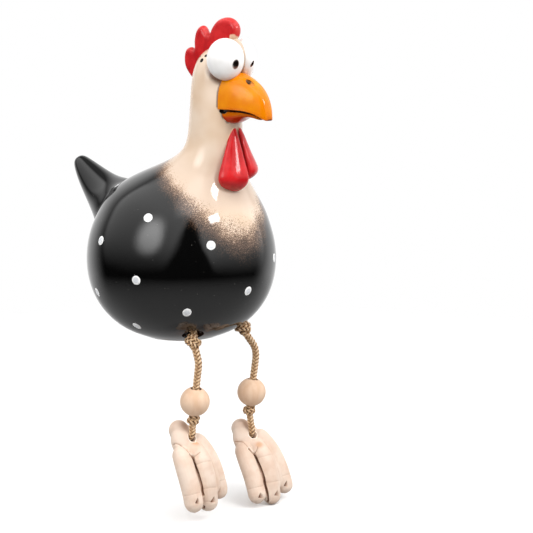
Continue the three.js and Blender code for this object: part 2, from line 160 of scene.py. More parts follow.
def fuse(obj, *others):
    return cut(obj, *others, operation="UNION")


def bisected(obj, spot, normal, **side):
    """Cuts the object by a plane, closes it there, and drops the side that is asked for."""
    editing(obj)
    bpy.ops.mesh.select_all(action="SELECT")
    bpy.ops.mesh.bisect(plane_co=spot, plane_no=normal, use_fill=True, **side)
    done_editing()


def pull(obj, ring, rings):
    """In edit mode, with a ring of vertices selected: extrudes it to each ring of points in turn."""
    order = [tuple(v.co) for v in ring]
    for points in rings:
        bpy.ops.mesh.extrude_region_move()
        mesh = bmesh.from_edit_mesh(obj.data)
        fresh = {tuple(v.co): v for v in mesh.verts if v.select}
        ring = [fresh[key] for key in order]
        for v, point in zip(ring, points):
            v.co = point
        order = [tuple(v.co) for v in ring]
    bmesh.update_edit_mesh(obj.data)


def lofted(rings):
    """A closed form drawn ring by ring from a circle, as a potter's pull through sections."""
    obj = added("circle", vertices=len(rings[0]))
    editing(obj)
    bpy.ops.mesh.select_all(action="SELECT")
    mesh = bmesh.from_edit_mesh(obj.data)
    ring = list(mesh.verts)
    for v, point in zip(ring, rings[0]):
        v.co = point
    pull(obj, ring, rings[1:])
    done_editing(filled=True)
    return obj


def ball(middle, half, turn=None, segments=48, rings=32):
    """A ball at a place, stretched to three half sizes in millimetres and turned about its middle."""
    obj = added("uv_sphere", segments=segments, ring_count=rings, radius=1)
    shape = Matrix.Diagonal((*(h * MM for h in half), 1))
    obj.data.transform(Matrix.Translation(middle) @ (turn or Matrix.Identity(4)) @ shape)
    return obj


def post(start, end, radius, sides=32):
    """A round post between two places, its radius in millimetres."""
    axis = end - start
    obj = added("cylinder", vertices=sides, radius=radius * MM, depth=axis.length)
    obj.data.transform(Matrix.Translation((start + end) / 2) @ turn_to(axis))
    return obj


def ring_of(middle, one, two, count, start=0.0, shape=None):
    points = []
    for i in range(count):
        angle = start + i / count * math.tau
        a, b = shape(angle) if shape else (1, 1)
        points.append(middle + one * (math.cos(angle) * a) + two * (math.sin(angle) * b))
    return points


def between(rows, value, step="z"):
    """Every value of a list of rows, read at one step by a smooth curve through them."""
    last = len(rows) - 1
    i = 0
    while i < last - 1 and rows[i + 1][step] < value:
        i += 1
    before, start, end, after = rows[max(i - 1, 0)], rows[i], rows[i + 1], rows[min(i + 2, last)]
    span = end[step] - start[step]
    t = (value - start[step]) / span
    found = {}
    for key in start:
        slope_start = (end[key] - before[key]) / (end[step] - before[step]) * span
        slope_end = (after[key] - start[key]) / (after[step] - start[step]) * span
        found[key] = ((2 * t ** 3 - 3 * t ** 2 + 1) * start[key] + (t ** 3 - 2 * t ** 2 + t) * slope_start
                      + (3 * t ** 2 - 2 * t ** 3) * end[key] + (t ** 3 - t ** 2) * slope_end)
    return found


def curve_through(points, spacing):
    """Points at an even spacing along one smooth curve through the given points."""
    fine = []
    ends = [points[0] * 2 - points[1]] + list(points) + [points[-1] * 2 - points[-2]]
    for a, b, c, d in zip(ends, ends[1:], ends[2:], ends[3:]):
        for k in range(24):
            t = k / 24
            fine.append(0.5 * (2 * b + (c - a) * t + (2 * a - 5 * b + 4 * c - d) * t ** 2
                               + (3 * b - a - 3 * c + d) * t ** 3))
    fine.append(points[-1].copy())
    reach = [0.0]
    for a, b in zip(fine, fine[1:]):
        reach.append(reach[-1] + (b - a).length)
    count = max(2, round(reach[-1] / spacing))
    found, j = [], 0
    for k in range(count + 1):
        goal = reach[-1] * k / count
        while j < len(reach) - 2 and reach[j + 1] < goal:
            j += 1
        share = (goal - reach[j]) / max(reach[j + 1] - reach[j], 1e-9)
        found.append(fine[j].lerp(fine[j + 1], min(max(share, 0), 1)))
    return found


def frames_along(points):
    """At each point the way on and two directions across it, carried along without twist."""
    ways = []
    for i in range(len(points)):
        ways.append((points[min(i + 1, len(points) - 1)] - points[max(i - 1, 0)]).normalized())
    one = ways[0].orthogonal().normalized()
    frames = []
    for way in ways:
        one = (one - way * one.dot(way)).normalized()
        frames.append((way, one, way.cross(one)))
    return frames


def turn_to(way):
    """The turn that takes Z to a way."""
    return way.to_track_quat("Z", "Y").to_matrix().to_4x4()


def new_mesh(name, points, faces):
    mesh = bpy.data.meshes.new(name)
    mesh.from_pydata(points, [], faces)
    obj = bpy.data.objects.new(name, mesh)
    bpy.context.scene.collection.objects.link(obj)
    return obj


def surface_tree(obj):
    return BVHTree.FromObject(obj, bpy.context.evaluated_depsgraph_get())


# ---------- materials ----------

def maths(operation, turned=False):
    """A method that puts a value and another through a Math node, in turned order if asked."""
    def method(self, other):
        parts = (other, self) if turned else (self, other)
        made = self.paint.node("ShaderNodeMath", {"operation": operation}, dict(enumerate(parts)))
        return Value(self.paint, made.outputs[0])
    return method


class Value:
    """A number that varies over a surface."""

    __add__, __radd__ = maths("ADD"), maths("ADD", True)
    __sub__, __rsub__ = maths("SUBTRACT"), maths("SUBTRACT", True)
    __mul__, __rmul__ = maths("MULTIPLY"), maths("MULTIPLY", True)
    __pow__, most, least = maths("POWER"), maths("MAXIMUM"), maths("MINIMUM")

    def __init__(self, paint, socket):
        self.paint, self.socket = paint, socket

    def __neg__(self):
        return self * -1

    def step(self, low, high):
        """0 below low and 1 above high, with a smooth rise between."""
        settings = {"interpolation_type": "SMOOTHSTEP"}
        sockets = {"Value": self, "From Min": low, "From Max": high}
        return Value(self.paint, self.paint.node("ShaderNodeMapRange", settings, sockets).outputs[0])


class Nodes:
    """A node tree, and the one way that a node is added to it."""

    def __init__(self, owner):
        owner.use_nodes = True
        self.tree = owner.node_tree

    def node(self, kind, settings=None, sockets=None):
        made = self.tree.nodes.new(kind)
        for key, value in (settings or {}).items():
            setattr(made, key, value)
        for key, value in (sockets or {}).items():
            if isinstance(value, Value):
                value = value.socket
            if isinstance(value, bpy.types.NodeSocket):
                self.tree.links.new(value, made.inputs[key])
            else:
                made.inputs[key].default_value = value
        return made

    def split(self, vector):
        outputs = self.node("ShaderNodeSeparateXYZ", None, {0: vector}).outputs
        return [Value(self, outputs[axis]) for axis in "XYZ"]


class Paint(Nodes):
    """One procedural material, made node by node."""

    def __init__(self, name, roughness=0.5, **constants):
        self.material = bpy.data.materials.new(name)
        super().__init__(self.material)
        self.shader = self.tree.nodes["Principled BSDF"]
        self.shader.inputs["Roughness"].default_value = roughness
        for key, value in constants.items():
            self.shader.inputs[key.replace("_", " ")].default_value = value
        self.spot = self.node("ShaderNodeTexCoord").outputs["Object"]

    def put(self, **parts):
        for key, value in parts.items():
            socket = value.socket if isinstance(value, Value) else value
            self.tree.links.new(socket, self.shader.inputs[key.replace("_", " ")])
        return self.material

    def vectors(self, operation, one, two=(0, 0, 0)):
        return self.node("ShaderNodeVectorMath", {"operation": operation}, {0: one, 1: two}).outputs

    def noise(self, size, detail, where=None, stretch=None):
        """Noise whose lumps are about size millimetres."""
        where = where or self.spot
        if stretch:
            where = self.vectors("MULTIPLY", where, stretch)[0]
        sockets = {"Vector": where, "Scale": 1 / (size * MM), "Detail": detail, "Roughness": 0.5}
        return Value(self, self.node("ShaderNodeTexNoise", None, sockets).outputs["Fac"])

    def cells(self, size):
        sockets = {"Vector": self.spot, "Scale": 1 / (size * MM)}
        return Value(self, self.node("ShaderNodeTexVoronoi", None, sockets).outputs["Distance"])

    def from_point(self, across, ahead, z, half, turn=(0, 0, 0)):
        """How far a spot is from a point, as a share of three half sizes in millimetres."""
        moved = self.vectors("SUBTRACT", self.spot, place(across, ahead, z))[0]
        turned = self.node("ShaderNodeVectorRotate", {"rotation_type": "EULER_XYZ", "invert": True},
                           {"Vector": moved, "Rotation": turn}).outputs[0]
        scaled = self.vectors("MULTIPLY", turned, tuple(1 / (h * MM) for h in half))[0]
        return Value(self, self.vectors("LENGTH", scaled)["Value"])

    def from_pair(self, across, *rest):
        """How far a spot is from the nearer of two points, one on either side."""
        return self.from_point(-across, *rest).least(self.from_point(across, *rest))

    def axis(self, which):
        """The X, Y or Z of a spot in millimetres."""
        return self.split(self.spot)["XYZ".index(which)] * (1 / MM)

    def carried(self, name):
        """A number that the mesh carries."""
        return Value(self, self.node("ShaderNodeAttribute", {"attribute_name": name}).outputs["Fac"])

    def mix(self, share, one, two):
        """A colour between two, each a socket or a red, green and blue of 0 to 255."""
        ends = {6: colour(one), 7: colour(two)}
        return self.node("ShaderNodeMix", {"data_type": "RGBA"}, {0: share, **ends}).outputs[2]

    def over(self, share, top):
        """Lays a colour over the shade that the paint has so far."""
        self.shade = self.mix(share, self.shade, top)

    def finish(self, roughness, *layers):
        return self.put(Base_Color=self.shade, Roughness=roughness, Normal=self.bump(*layers))

    def bump(self, *layers):
        """A normal from layers of height, each a value and its depth in millimetres."""
        normal = None
        for height, depth in layers:
            sockets = {"Height": height, "Distance": depth * MM, "Strength": 1.0}
            if normal:
                sockets["Normal"] = normal
            normal = self.node("ShaderNodeBump", None, sockets).outputs[0]
        return normal


def colour(value):
    if not isinstance(value, tuple):
        return value
    linear = [(c / 255 / 12.92) if c / 255 <= 0.04045 else ((c / 255 + 0.055) / 1.055) ** 2.4 for c in value]
    return (*linear, 1.0)


CREAM = (234, 213, 192)
WARM_CREAM = (222, 194, 166)
TAN = (178, 145, 118)
BROWN = (78, 57, 45)
BLACK = (7, 7, 7)
JOINT_STAIN_AND_SHADE = (94, 52, 30)
# The cream bib is what lies near this point, in millimetres that are stretched along each axis
BIB_MIDDLE = (-4.4, 42.2, 313.9)
BIB_SHAPE = (1, 1 / 0.978, 1 / 0.265)
BIB_REACH = 65.4
NECK_FOOT = 119


def body_glaze():
    """Cream over the neck and chest, sprayed through tan and brown droplets into black."""
    paint = Paint("speckled body glaze", roughness=0.06, IOR=1.5)
    y, z = paint.axis("Y"), paint.axis("Z")
    bib = paint.from_point(*BIB_MIDDLE, BIB_SHAPE)
    neck = (z - NECK_FOOT) * 0.7 - (y - 20).most(0)
    sprayed = (paint.noise(13, 2) - 0.5) * 5 - (BIB_REACH - bib).most(neck)
    droplets = (paint.noise(0.5, 0.3) - 0.5) * 9 + (paint.noise(1.1, 1) - 0.5) * 3
    tan_share = (sprayed + droplets).step(-2.4, 0.0)
    brown_share = (sprayed + droplets).step(-0.9, 1.9)
    black_share = (sprayed + droplets * 0.8).step(1.6, 5.6)
    paint.shade = paint.mix(paint.noise(24, 2).step(0.35, 0.7), CREAM, WARM_CREAM)
    foot = z.step(82, 96) * (1 - z.step(112, 134))
    paint.over(foot * 0.95, (207, 184, 163))
    paint.over(tan_share * 0.9, TAN)
    paint.over(brown_share * 0.92, BROWN)
    paint.over(black_share, BLACK)
    dust = (1 - paint.cells(3.1).step(0.04, 0.085)) * paint.noise(6, 1).step(0.5, 0.62) * black_share
    paint.over(dust * 0.5, (150, 146, 140))
    holes = paint.from_pair(*LEFT_LEG["hip"][:2], 4, (9, 9, 9))
    tint = (1 - holes.step(0.85, 1.9)) * paint.noise(5, 3).step(0.3, 0.65)
    paint.over(tint * 0.6, (84, 48, 30))
    # Painted shade: a brown shadow round the eyes, strongest under them, joined by darker joint lines where
    # the beak and the comb sit on the body.
    seam = paint.carried("by_eye").step(0.2, 0.85) * (1 - z.step(176, 184) * 0.6)
    seam = seam.most(paint.carried("by_beak").step(0.3, 0.9) * 0.9)
    seam = seam.most(paint.carried("by_comb").step(0.4, 1.0) * 0.5)
    seam = seam * (0.6 + paint.noise(2.5, 2) * 0.8)
    paint.over(seam.least(1) * 0.85, JOINT_STAIN_AND_SHADE)
    marks = paint.from_pair(9.8, 44.6, 152.2, (2.4, 2.6, 1.7))
    for spot, half in HEAD_MARKS:
        marks = marks.least(paint.from_point(*spot, (half + 0.25,) * 3))
    paint.over(1 - marks.step(0.9, 1.1), (20, 13, 10))
    rim = 1 - (z + (paint.noise(6, 2) - 0.5) * 2).step(0.4, 1.8)
    paint.over(rim * 0.8, (104, 72, 56))
    roughness = 0.05 + rim * 0.45 + paint.noise(20, 2) * 0.04
    return paint.finish(roughness, (paint.noise(9, 2), 0.05), (paint.noise(1.2, 2), 0.006))


def dot_glaze():
    paint = Paint("white slip dots", roughness=0.25, IOR=1.5)
    middle = 1 - paint.carried("from_middle").step(0.45, 0.7)
    paint.shade = paint.mix(middle * (0.5 + paint.noise(1.2, 2)), (250, 250, 249), (222, 224, 228))
    return paint.finish(0.2 + paint.noise(2, 2) * 0.2, (paint.noise(2.5, 2), 0.06))


def red_glaze(name):
    paint = Paint(name, roughness=0.1, IOR=1.33)
    cloud = paint.noise(9, 3)
    paint.shade = paint.mix(cloud.step(0.3, 0.75), (184, 20, 26), (210, 42, 44))
    thin = paint.carried("bare") + (paint.noise(2, 3) - 0.5) * 0.5
    paint.over(paint.carried("edge").step(0.2, 0.9) * 0.35, (232, 96, 90))
    groove = paint.carried("hollow").step(0.15, 0.9)
    paint.over(groove * 0.3, (150, 16, 22))
    paint.over(thin.step(0.45, 0.75), (228, 190, 160))
    return paint.finish(0.09 + cloud * 0.08, (paint.noise(6, 2), 0.12), (paint.noise(1.5, 2), 0.012))


def eye_glaze():
    paint = Paint("white eye glaze", roughness=0.12, IOR=1.5)
    paint.shade = paint.mix(paint.noise(12, 2).step(0.35, 0.75), (250, 249, 248), (238, 236, 233))
    z = paint.axis("Z")
    # Painted shade: the lower part of each eye is darker.
    low = (1 - z.step(172.5, 177)) * 0.25
    paint.over(low, (196, 176, 160))
    pits = None
    for side, spot, half, roll in PUPILS:
        pit = paint.from_point(*spot, tuple(h + 0.12 for h in half), (0, roll, math.radians(side * 45)))
        pits = pit if pits is None else pits.least(pit)
    pit = 1 - pits.step(0.94, 1.04)
    # Painted light and shade in the pupil pit: its brown inside is dark at the top as shade and lighter low
    # down, as if lit.
    lit_share_in_pit = (181.3 - z + (paint.noise(1.4, 2) - 0.5) * 4).step(0, 2.2)
    inside = paint.mix(lit_share_in_pit, (38, 18, 13), (168, 118, 98))
    paint.over(pit, inside)
    ring = (1 - pits.step(1.0, 1.14)) * (1 - pit) * 0.45
    paint.over(ring, (170, 140, 122))
    return paint.finish(0.1 + paint.noise(8, 2) * 0.08, (paint.noise(7, 2), 0.12))


def beak_glaze():
    """Orange glaze that goes red at the throat and dark in the mouth line and the poked holes."""
    paint = Paint("orange beak glaze", roughness=0.07, IOR=1.29)
    y, z = paint.axis("Y"), paint.axis("Z")
    cloud = paint.noise(10, 3)
    paint.shade = paint.mix(cloud.step(0.3, 0.72), (234, 144, 10), (226, 124, 3))
    paint.over((-y).step(66, 75) * 0.3, (228, 118, 6))
    edge = 1 - paint.carried("mouth").step(0.6, 3.4)
    paint.over(edge * 0.5, (204, 92, 10))
    line = 1 - paint.carried("mouth").step(0.2, 0.7)
    paint.over(line * 0.9, (104, 30, 14))
    throat = (1 - (z + (paint.noise(4, 2) - 0.5) * 2).step(147.4, 152)) * (1 - (-y).step(61, 69))
    paint.over(throat * 0.9, (190, 30, 16))
    root = paint.carried("root").step(0.5, 1.0)
    paint.over(root * 0.6, (150, 78, 20))
    corner = paint.from_pair(*MOUTH_PIT[:3], tuple(h + 0.2 for h in MOUTH_PIT[3]))
    paint.over(1 - corner.step(0.92, 1.06), (16, 11, 10))
    pit = 1 - paint.from_pair(*NOSTRIL[:3], tuple(h + 0.15 for h in NOSTRIL[3]), NOSTRIL_TURN).step(0.9, 1.05)
    paint.over(pit * 0.75, (196, 128, 62))
    deepest = (y + (NOSTRIL[1] - 1.0)).step(-0.7, 0.5)
    paint.over(pit * deepest, (34, 18, 10))
    return paint.finish(0.06 + cloud * 0.06, (paint.noise(8, 2), 0.1), (paint.noise(1.4, 2), 0.008))


def bisque():
    """Unglazed clay: pale, with brown stain in what is carved, and a painted highlight on the burrs beside it
    and on the bore's rim.
    """
    paint = Paint("bisque", roughness=0.62, IOR=1.45)
    cloud = paint.noise(11, 3)
    paint.shade = paint.mix(cloud.step(0.3, 0.75), (229, 208, 191), (217, 188, 167))
    blotch = paint.noise(5, 3).step(0.58, 0.78)
    paint.over(blotch * 0.35, (212, 170, 144))
    paint.over(paint.carried("tan").step(0.1, 1.0) * 0.7, (204, 146, 98))
    paint.over(paint.carried("brown").step(0.05, 1.0) * 0.7, (178, 138, 112))
    # painted highlight on the burrs beside the deep line and on the bore's rim
    paint.over(paint.carried("light").step(0.15, 0.9) * 0.85, (252, 242, 228))
    stain = paint.carried("groove") + (paint.noise(1.1, 2) - 0.5) * 0.18
    paint.over(stain.step(0.1, 0.8) * 0.75, (150, 100, 68))
    paint.over(stain.step(0.55, 1.0) * 0.85, (70, 38, 22))
    return paint.finish(0.55 + cloud * 0.2, (paint.noise(3, 3), 0.08), (paint.noise(0.5, 2), 0.02))


def bead_wood():
    paint = Paint("pale bead wood", roughness=0.5, IOR=1.45)
    grain = paint.noise(5, 3, stretch=(1, 1, 0.3))
    fine = paint.noise(0.6, 2, stretch=(1, 1, 0.12))
    paint.shade = paint.mix(grain.step(0.32, 0.7), (230, 199, 172), (220, 183, 152))
    paint.over(fine.step(0.5, 0.85) * 0.2, (206, 164, 130))
    paint.over(paint.carried("mouth").step(0.1, 0.9) * 0.85, (100, 60, 36))
    return paint.finish(0.45 + fine * 0.15, (fine, 0.012), (grain, 0.03))


def rope_yarn():
    """Tan yarn with a painted highlight on each strand's crown and painted shade where it dives under the
    next.
    """
    paint = Paint("braided rope yarn", roughness=0.55, IOR=1.45)
    strand = paint.node("ShaderNodeUVMap", {"uv_map": "strand"}).outputs[0]
    fibre = paint.noise(0.35, 2, where=strand, stretch=(0.25, 1.0, 1.0))
    deep = paint.carried("deep") + (fibre - 0.5) * 0.25
    tone = paint.noise(4, 2)
    paint.shade = paint.mix(tone.step(0.3, 0.7), (216, 178, 134), (194, 150, 106))
    # painted highlight on the crown of each strand
    paint.over((1 - deep.step(0.0, 0.3)) * 0.9, (248, 226, 196))
    paint.over(fibre.step(0.5, 0.8) * 0.35, (150, 104, 66))
    # painted shade in the gaps where a strand dives under the next
    paint.over(deep.step(0.32, 0.7), (78, 42, 22))
    return paint.finish(0.4 + fibre * 0.2, (fibre, 0.1))


# ---------- finishing a piece ----------

def carry(obj, name, number):
    """Writes a number for each point of the mesh, from the point's place."""
    field = obj.data.attributes.get(name) or obj.data.attributes.new(name, "FLOAT", "POINT")
    for v in obj.data.vertices:
        field.data[v.index].value = number(v.co)


def finish_piece(obj, name, body, material, replaced=(), sharp=50):
    obj.name = obj.data.name = name
    only(obj)
    bpy.ops.object.shade_smooth_by_angle(angle=math.radians(sharp))
    obj.data.materials.clear()
    obj.data.materials.append(material)
    if body:
        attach(obj, body)
    if replaced:
        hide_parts(*replaced)
    return obj


# ---------- camera ----------

def set_camera():
    bpy.ops.object.camera_add()
    camera = bpy.context.object
    camera.name = "view"
    turn = Matrix((CAMERA_RIGHT, CAMERA_UP, [-c for c in CAMERA_FORWARD])).transposed()
    camera.matrix_world = Matrix.Translation(CAMERA_PLACE) @ turn.to_4x4()
    camera.data.sensor_width = SENSOR
    camera.data.lens = FOCAL_PIXELS / FRAME_PIXELS * SENSOR
    camera.data.clip_start = 0.05
    camera.data.clip_end = 20
    bpy.context.scene.camera = camera


# ---------- rope ----------

STRANDS = 4
STRAND_RADIUS = 0.86
PLAIT_RADIUS = 1.4
PLAIT_WAVE = 0.49
PLAIT_TURN = 9.6
OUTSIDE = PLAIT_RADIUS + PLAIT_WAVE + STRAND_RADIUS
STEP = 0.5
SIDES = 8
# Share of the rope's size, reach, height, turns, turn beyond the leg's own, lean and taper
KNOTS = {
    "hip_knot": (0.9, 3.5, 5.4, 1.85, 0, 0.42, 0),
    "knee_knot": (0.82, 3.1, 3.4, 1.6, 1.7, 0.3, 0.35),
    "foot_knot": (0.78, 2.1, 2.6, 1.3, 0, 0.3, 0),
}
ROPE_START = 4.6


def braided(name, points, size=1.0):
    """A round plait of eight strands along a line, four each way, two over and two under."""
    line = curve_through(points, STEP * MM)
    frames = frames_along(line)
    verts, faces, deep, strand_uv = [], [], [], []
    for way in (1, -1):
        for k in range(STRANDS):
            base = len(verts)
            path = []
            for i, (point, (forward, one, two)) in enumerate(zip(line, frames)):
                s = i * (line[1] - line[0]).length / MM / size
                angle = math.tau * (k / STRANDS + way * s / PLAIT_TURN)
                wave = math.cos(2 * angle + math.pi / 4) * way
                radius = (PLAIT_RADIUS + PLAIT_WAVE * wave) * size * MM
                path.append(point + one * (math.cos(angle) * radius) + two * (math.sin(angle) * radius))
            own = frames_along(path)
            for i, (point, (forward, a, b)) in enumerate(zip(path, own)):
                out = (point - line[i]).normalized()
                out = (out - forward * out.dot(forward)).normalized()
                across = forward.cross(out)
                for j in range(SIDES):
                    turn = j / SIDES * math.tau
                    high = math.cos(turn) * STRAND_RADIUS * 0.92 * size * MM
                    wide = math.sin(turn) * STRAND_RADIUS * 1.08 * size * MM
                    v = point + out * high + across * wide
                    verts.append(v)
                    # depth below the plait's outside, which the yarn turns into painted highlight on crowns
                    # and painted shade in gaps
                    away = (v - line[i]) - frames[i][0] * (v - line[i]).dot(frames[i][0])
                    deep.append(min(max((OUTSIDE - away.length / MM / size) / 1.25, 0), 1))
                    strand_uv.append((i * STEP * MM, j / SIDES * 0.006))
            for i in range(len(path) - 1):
                for j in range(SIDES):
                    n = (j + 1) % SIDES
                    a, b = base + i * SIDES + j, base + i * SIDES + n
                    faces.append((a, b, b + SIDES, a + SIDES))
            faces.append(tuple(base + j for j in reversed(range(SIDES))))
            last = base + (len(path) - 1) * SIDES
            faces.append(tuple(last + j for j in range(SIDES)))
    obj = new_mesh(name, verts, faces)
    field = obj.data.attributes.new("deep", "FLOAT", "POINT")
    field.data.foreach_set("value", deep)
    uv = obj.data.uv_layers.new(name="strand")
    for loop in obj.data.loops:
        uv.data[loop.index].uv = strand_uv[loop.vertex_index]
    editing(obj)
    done_editing(outward=True)
    return obj, line


def knot_line(middle, enter, leave, reach, height, turns, phase, lean, taper):
    """The line of a rope that comes in along enter, lies round itself, and goes out along leave."""
    steps = 22
    tilt = Matrix.Rotation(lean, 3, Vector((math.cos(phase), math.sin(phase), 0)))
    wraps = []
    for k in range(steps + 1):
        f = k / steps
        angle = phase + math.tau * turns * f
        swell = min(1, math.sin(math.pi * f) * 2.4)
        out = reach * (0.15 + 0.85 * swell) * (1 - taper * f) * MM
        up = height * (0.5 - f) * MM
        wraps.append(middle + tilt @ Vector((math.cos(angle) * out, math.sin(angle) * out, up)))
    return [enter] + wraps + [leave]


def foot_place(leg):
    drop, yaw = math.radians(leg["foot_drop"]), math.radians(leg["foot_yaw"])
    facing = Vector((math.sin(yaw), -math.cos(yaw), 0))
    toes = facing * math.cos(drop) + Vector((0, 0, -math.sin(drop)))
    instep = facing * math.sin(drop) + Vector((0, 0, math.cos(drop)))
    across = instep.cross(toes)
    turn = Matrix((toes, across, instep)).transposed().to_4x4()
    return Matrix.Translation(place(*leg["ankle"])) @ turn


def make_ropes(leg, yarn):
    """Draws a leg's rope, piece by piece, and gives the way in which it runs through the bead."""
    side = leg["side"]
    keys = ("hip", "knee", "ankle", "bead", "straight")
    hip, knee, ankle, bead, straight = (place(*leg[key]) for key in keys)
    bow = [place(*point) for point in leg["bow"]]
    run, shin, out = ((b - a).normalized() for a, b in ((straight, bead), (knee, ankle), (hip, bow[0])))

    def braid(part, solid, body, points, size=1.0):
        name = f"{side}_{part}_braid"
        piece, line = braided(name, points, size)
        finish_piece(piece, name, body and f"{side}_{body}", yarn, [f"{side}_{solid}"], 180)
        return piece, line

    def knot(part, body, middle, enter, leave):
        size, reach, height, turns, further, lean, taper = KNOTS[part]
        line = knot_line(middle, middle + enter * MM, middle + leave * MM, reach, height, turns,
                         leg["knot_turn"] + further, lean, taper)
        return braid(part, part, body, line, size)[0]

    top, end = hip + out * ROPE_START * MM, knee - run * 2.6 * MM
    points = [top, *bow, straight, *(straight.lerp(end, t) for t in (0.25, 0.5, 0.75, 1))]
    upper, line = braid("upper", "upper_rope", "thigh", points)
    hip_knot = knot("hip_knot", "hip", hip, Vector((0, 0, 7.6)), out * 6)
    knee_knot = knot("knee_knot", "knee", knee, run * -5, shin * 5.4)

    bore, start = foot_place(leg), knee + shin * 2.6 * MM
    lower_points = [start, start.lerp(ankle, 0.4), ankle - shin * 2 * MM, bore @ mm(0, 0, -4)]
    lower, _ = braid("lower", "lower_rope", None, lower_points, 0.94)
    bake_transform(lower)
    up = (bore.to_3x3() @ Vector((0, 0, 1))).normalized()
    stop_knot = knot("foot_knot", "foot", bore @ mm(0, 0, -STOPPER_DEPTH), up * 7, up * -3)

    return run


def make_inner_rope(yarn):
    across, ahead, z = LEFT_LEG["hip"]
    start, arch, top = z + 6.6, z + 14.6, 33
    points = [place(-across, ahead, start)]
    for i in range(13):
        angle = i / 12 * math.pi
        rise = math.sin(angle)
        points.append(place(-across * math.cos(angle), ahead - 3 * rise, arch + (top - arch) * rise))
    points.append(place(across, ahead, start))
    rope, _ = braided("rope_inside_braid", points)
    finish_piece(rope, "rope_inside_braid", "hen", yarn, ["rope_inside"], 180)


set_camera()
YARN = rope_yarn()
RUNS = {leg["side"]: make_ropes(leg, YARN) for leg in (RIGHT_LEG, LEFT_LEG)}
make_inner_rope(YARN)


# ---------- body ----------

BALL_RADIUS = 64
EQUATOR_Z = 52
BALL_DROP = 56
LOWER_FULLNESS = 2.2
BALL_TOP_Z = 78
# Shoulder, neck and head, as height, half width, front and back
SHOULDER_TO_CROWN = [
    (85, 55.2, 56.8, -54.8), (91, 51.8, 53.6, -52.2), (97, 47.2, 50.8, -47.6), (103, 41.2, 48.8, -40),
    (109, 33.2, 47.6, -29), (115, 25.8, 47.2, -13), (121, 21.3, 47, 1), (127, 18.7, 47.2, 8.6),
    (134, 17.5, 47.7, 11.8), (146, 17.2, 48.1, 13), (158, 16.6, 47.4, 13.9), (168, 16, 46.8, 14.8),
    (176, 15.2, 46, 16), (182, 13.6, 44.8, 18), (187, 10.8, 42.4, 21.2), (190.4, 7.2, 38.6, 25.2),
    (192.4, 2.4, 34.6, 30.6),
]
# Tail, as ahead, height and radius from its root to its tip
TAIL = [(-58, 84, 20.6), (-69, 90.2, 15), (-78, 97.2, 11.8), (-86.2, 104.2, 9), (-92.4, 110.2, 6.3),
        (-96.2, 114.2, 3.7)]
TAIL_ROOT = (0, -52, 82)
TAIL_PATCH = {"low": 64, "high": 100, "half_angle": 22.5}
TAIL_GAIN = 1.03
BODY_SIDES = 32
BODY_HEIGHTS = [5, 11, 19, 29, 40, 52, 64, 75, 85, 93, 100, 106, 111, 116, 121, 126,
                132, 142, 155, 167, 175, 181, 185.5, 189, 191.2, 192.2]
SMOOTHING_GAIN = 1.0075
# Under the ball, as height and how far inside the ball's foot
BASE_RINGS = [(0, 3), (0, 1.2), (0.5, 0.2)]
WALL = 5
CAVITY_SIDES = 24
CAVITY_HEIGHTS = [5, 10, 19, 31, 45, 60, 74, 86, 97, 106, 114, 122, 131, 150, 172]
HOLE_RADIUS = 4.6
HOLE_LENGTH = 20
# Under each leg hole, as height above the hip and radius
RECESSES = [(0, 7.4), (4, 7.2)]
BROW = ((0, 43.6, 185.4), (4.6, 11.2, 13.8))


def ball_radius(z, inset=0):
    radius, height = BALL_RADIUS - inset, z - EQUATOR_Z
    if height >= 0:
        return math.sqrt(radius ** 2 - height ** 2)
    drop = min(-height / (BALL_DROP - inset), 1)
    return radius * (1 - drop ** LOWER_FULLNESS) ** (1 / LOWER_FULLNESS)


def body_rows():
    ball_rows = [(z, ball_radius(z), ball_radius(z), -ball_radius(z)) for z in (BALL_TOP_Z - 6, BALL_TOP_Z)]
    return [dict(zip(("z", "half", "front", "back"), row)) for row in ball_rows + SHOULDER_TO_CROWN]


def body_ring(z, inset, sides, rows, gain=1.0):
    if z <= BALL_TOP_Z:
        radius = ball_radius(z, inset)
        row = {"half": radius, "front": radius, "back": -radius}
    else:
        row = between(rows, z)
        row = {"half": row["half"] - inset, "front": row["front"] - inset, "back": row["back"] + inset}
    middle = place(0, (row["front"] + row["back"]) / 2, z)
    depth = (row["front"] - row["back"]) / 2
    return ring_of(middle, Vector((row["half"] * gain * MM, 0, 0)), Vector((0, depth * gain * MM, 0)), sides)


def tail_ring(index):
    """The middle of one of the tail's rings, two ways across it, and its radius."""
    ahead, z, radius = TAIL[index]
    before = TAIL[max(index - 1, 0)]
    after = TAIL[min(index + 1, len(TAIL) - 1)]
    way = (place(0, after[0], after[1]) - place(0, before[0], before[1])).normalized()
    side = Vector((1, 0, 0))
    up = side.cross(way).normalized()
    if up.z < 0:
        up.negate()
    return place(0, ahead, z), side, up, radius * TAIL_GAIN * MM


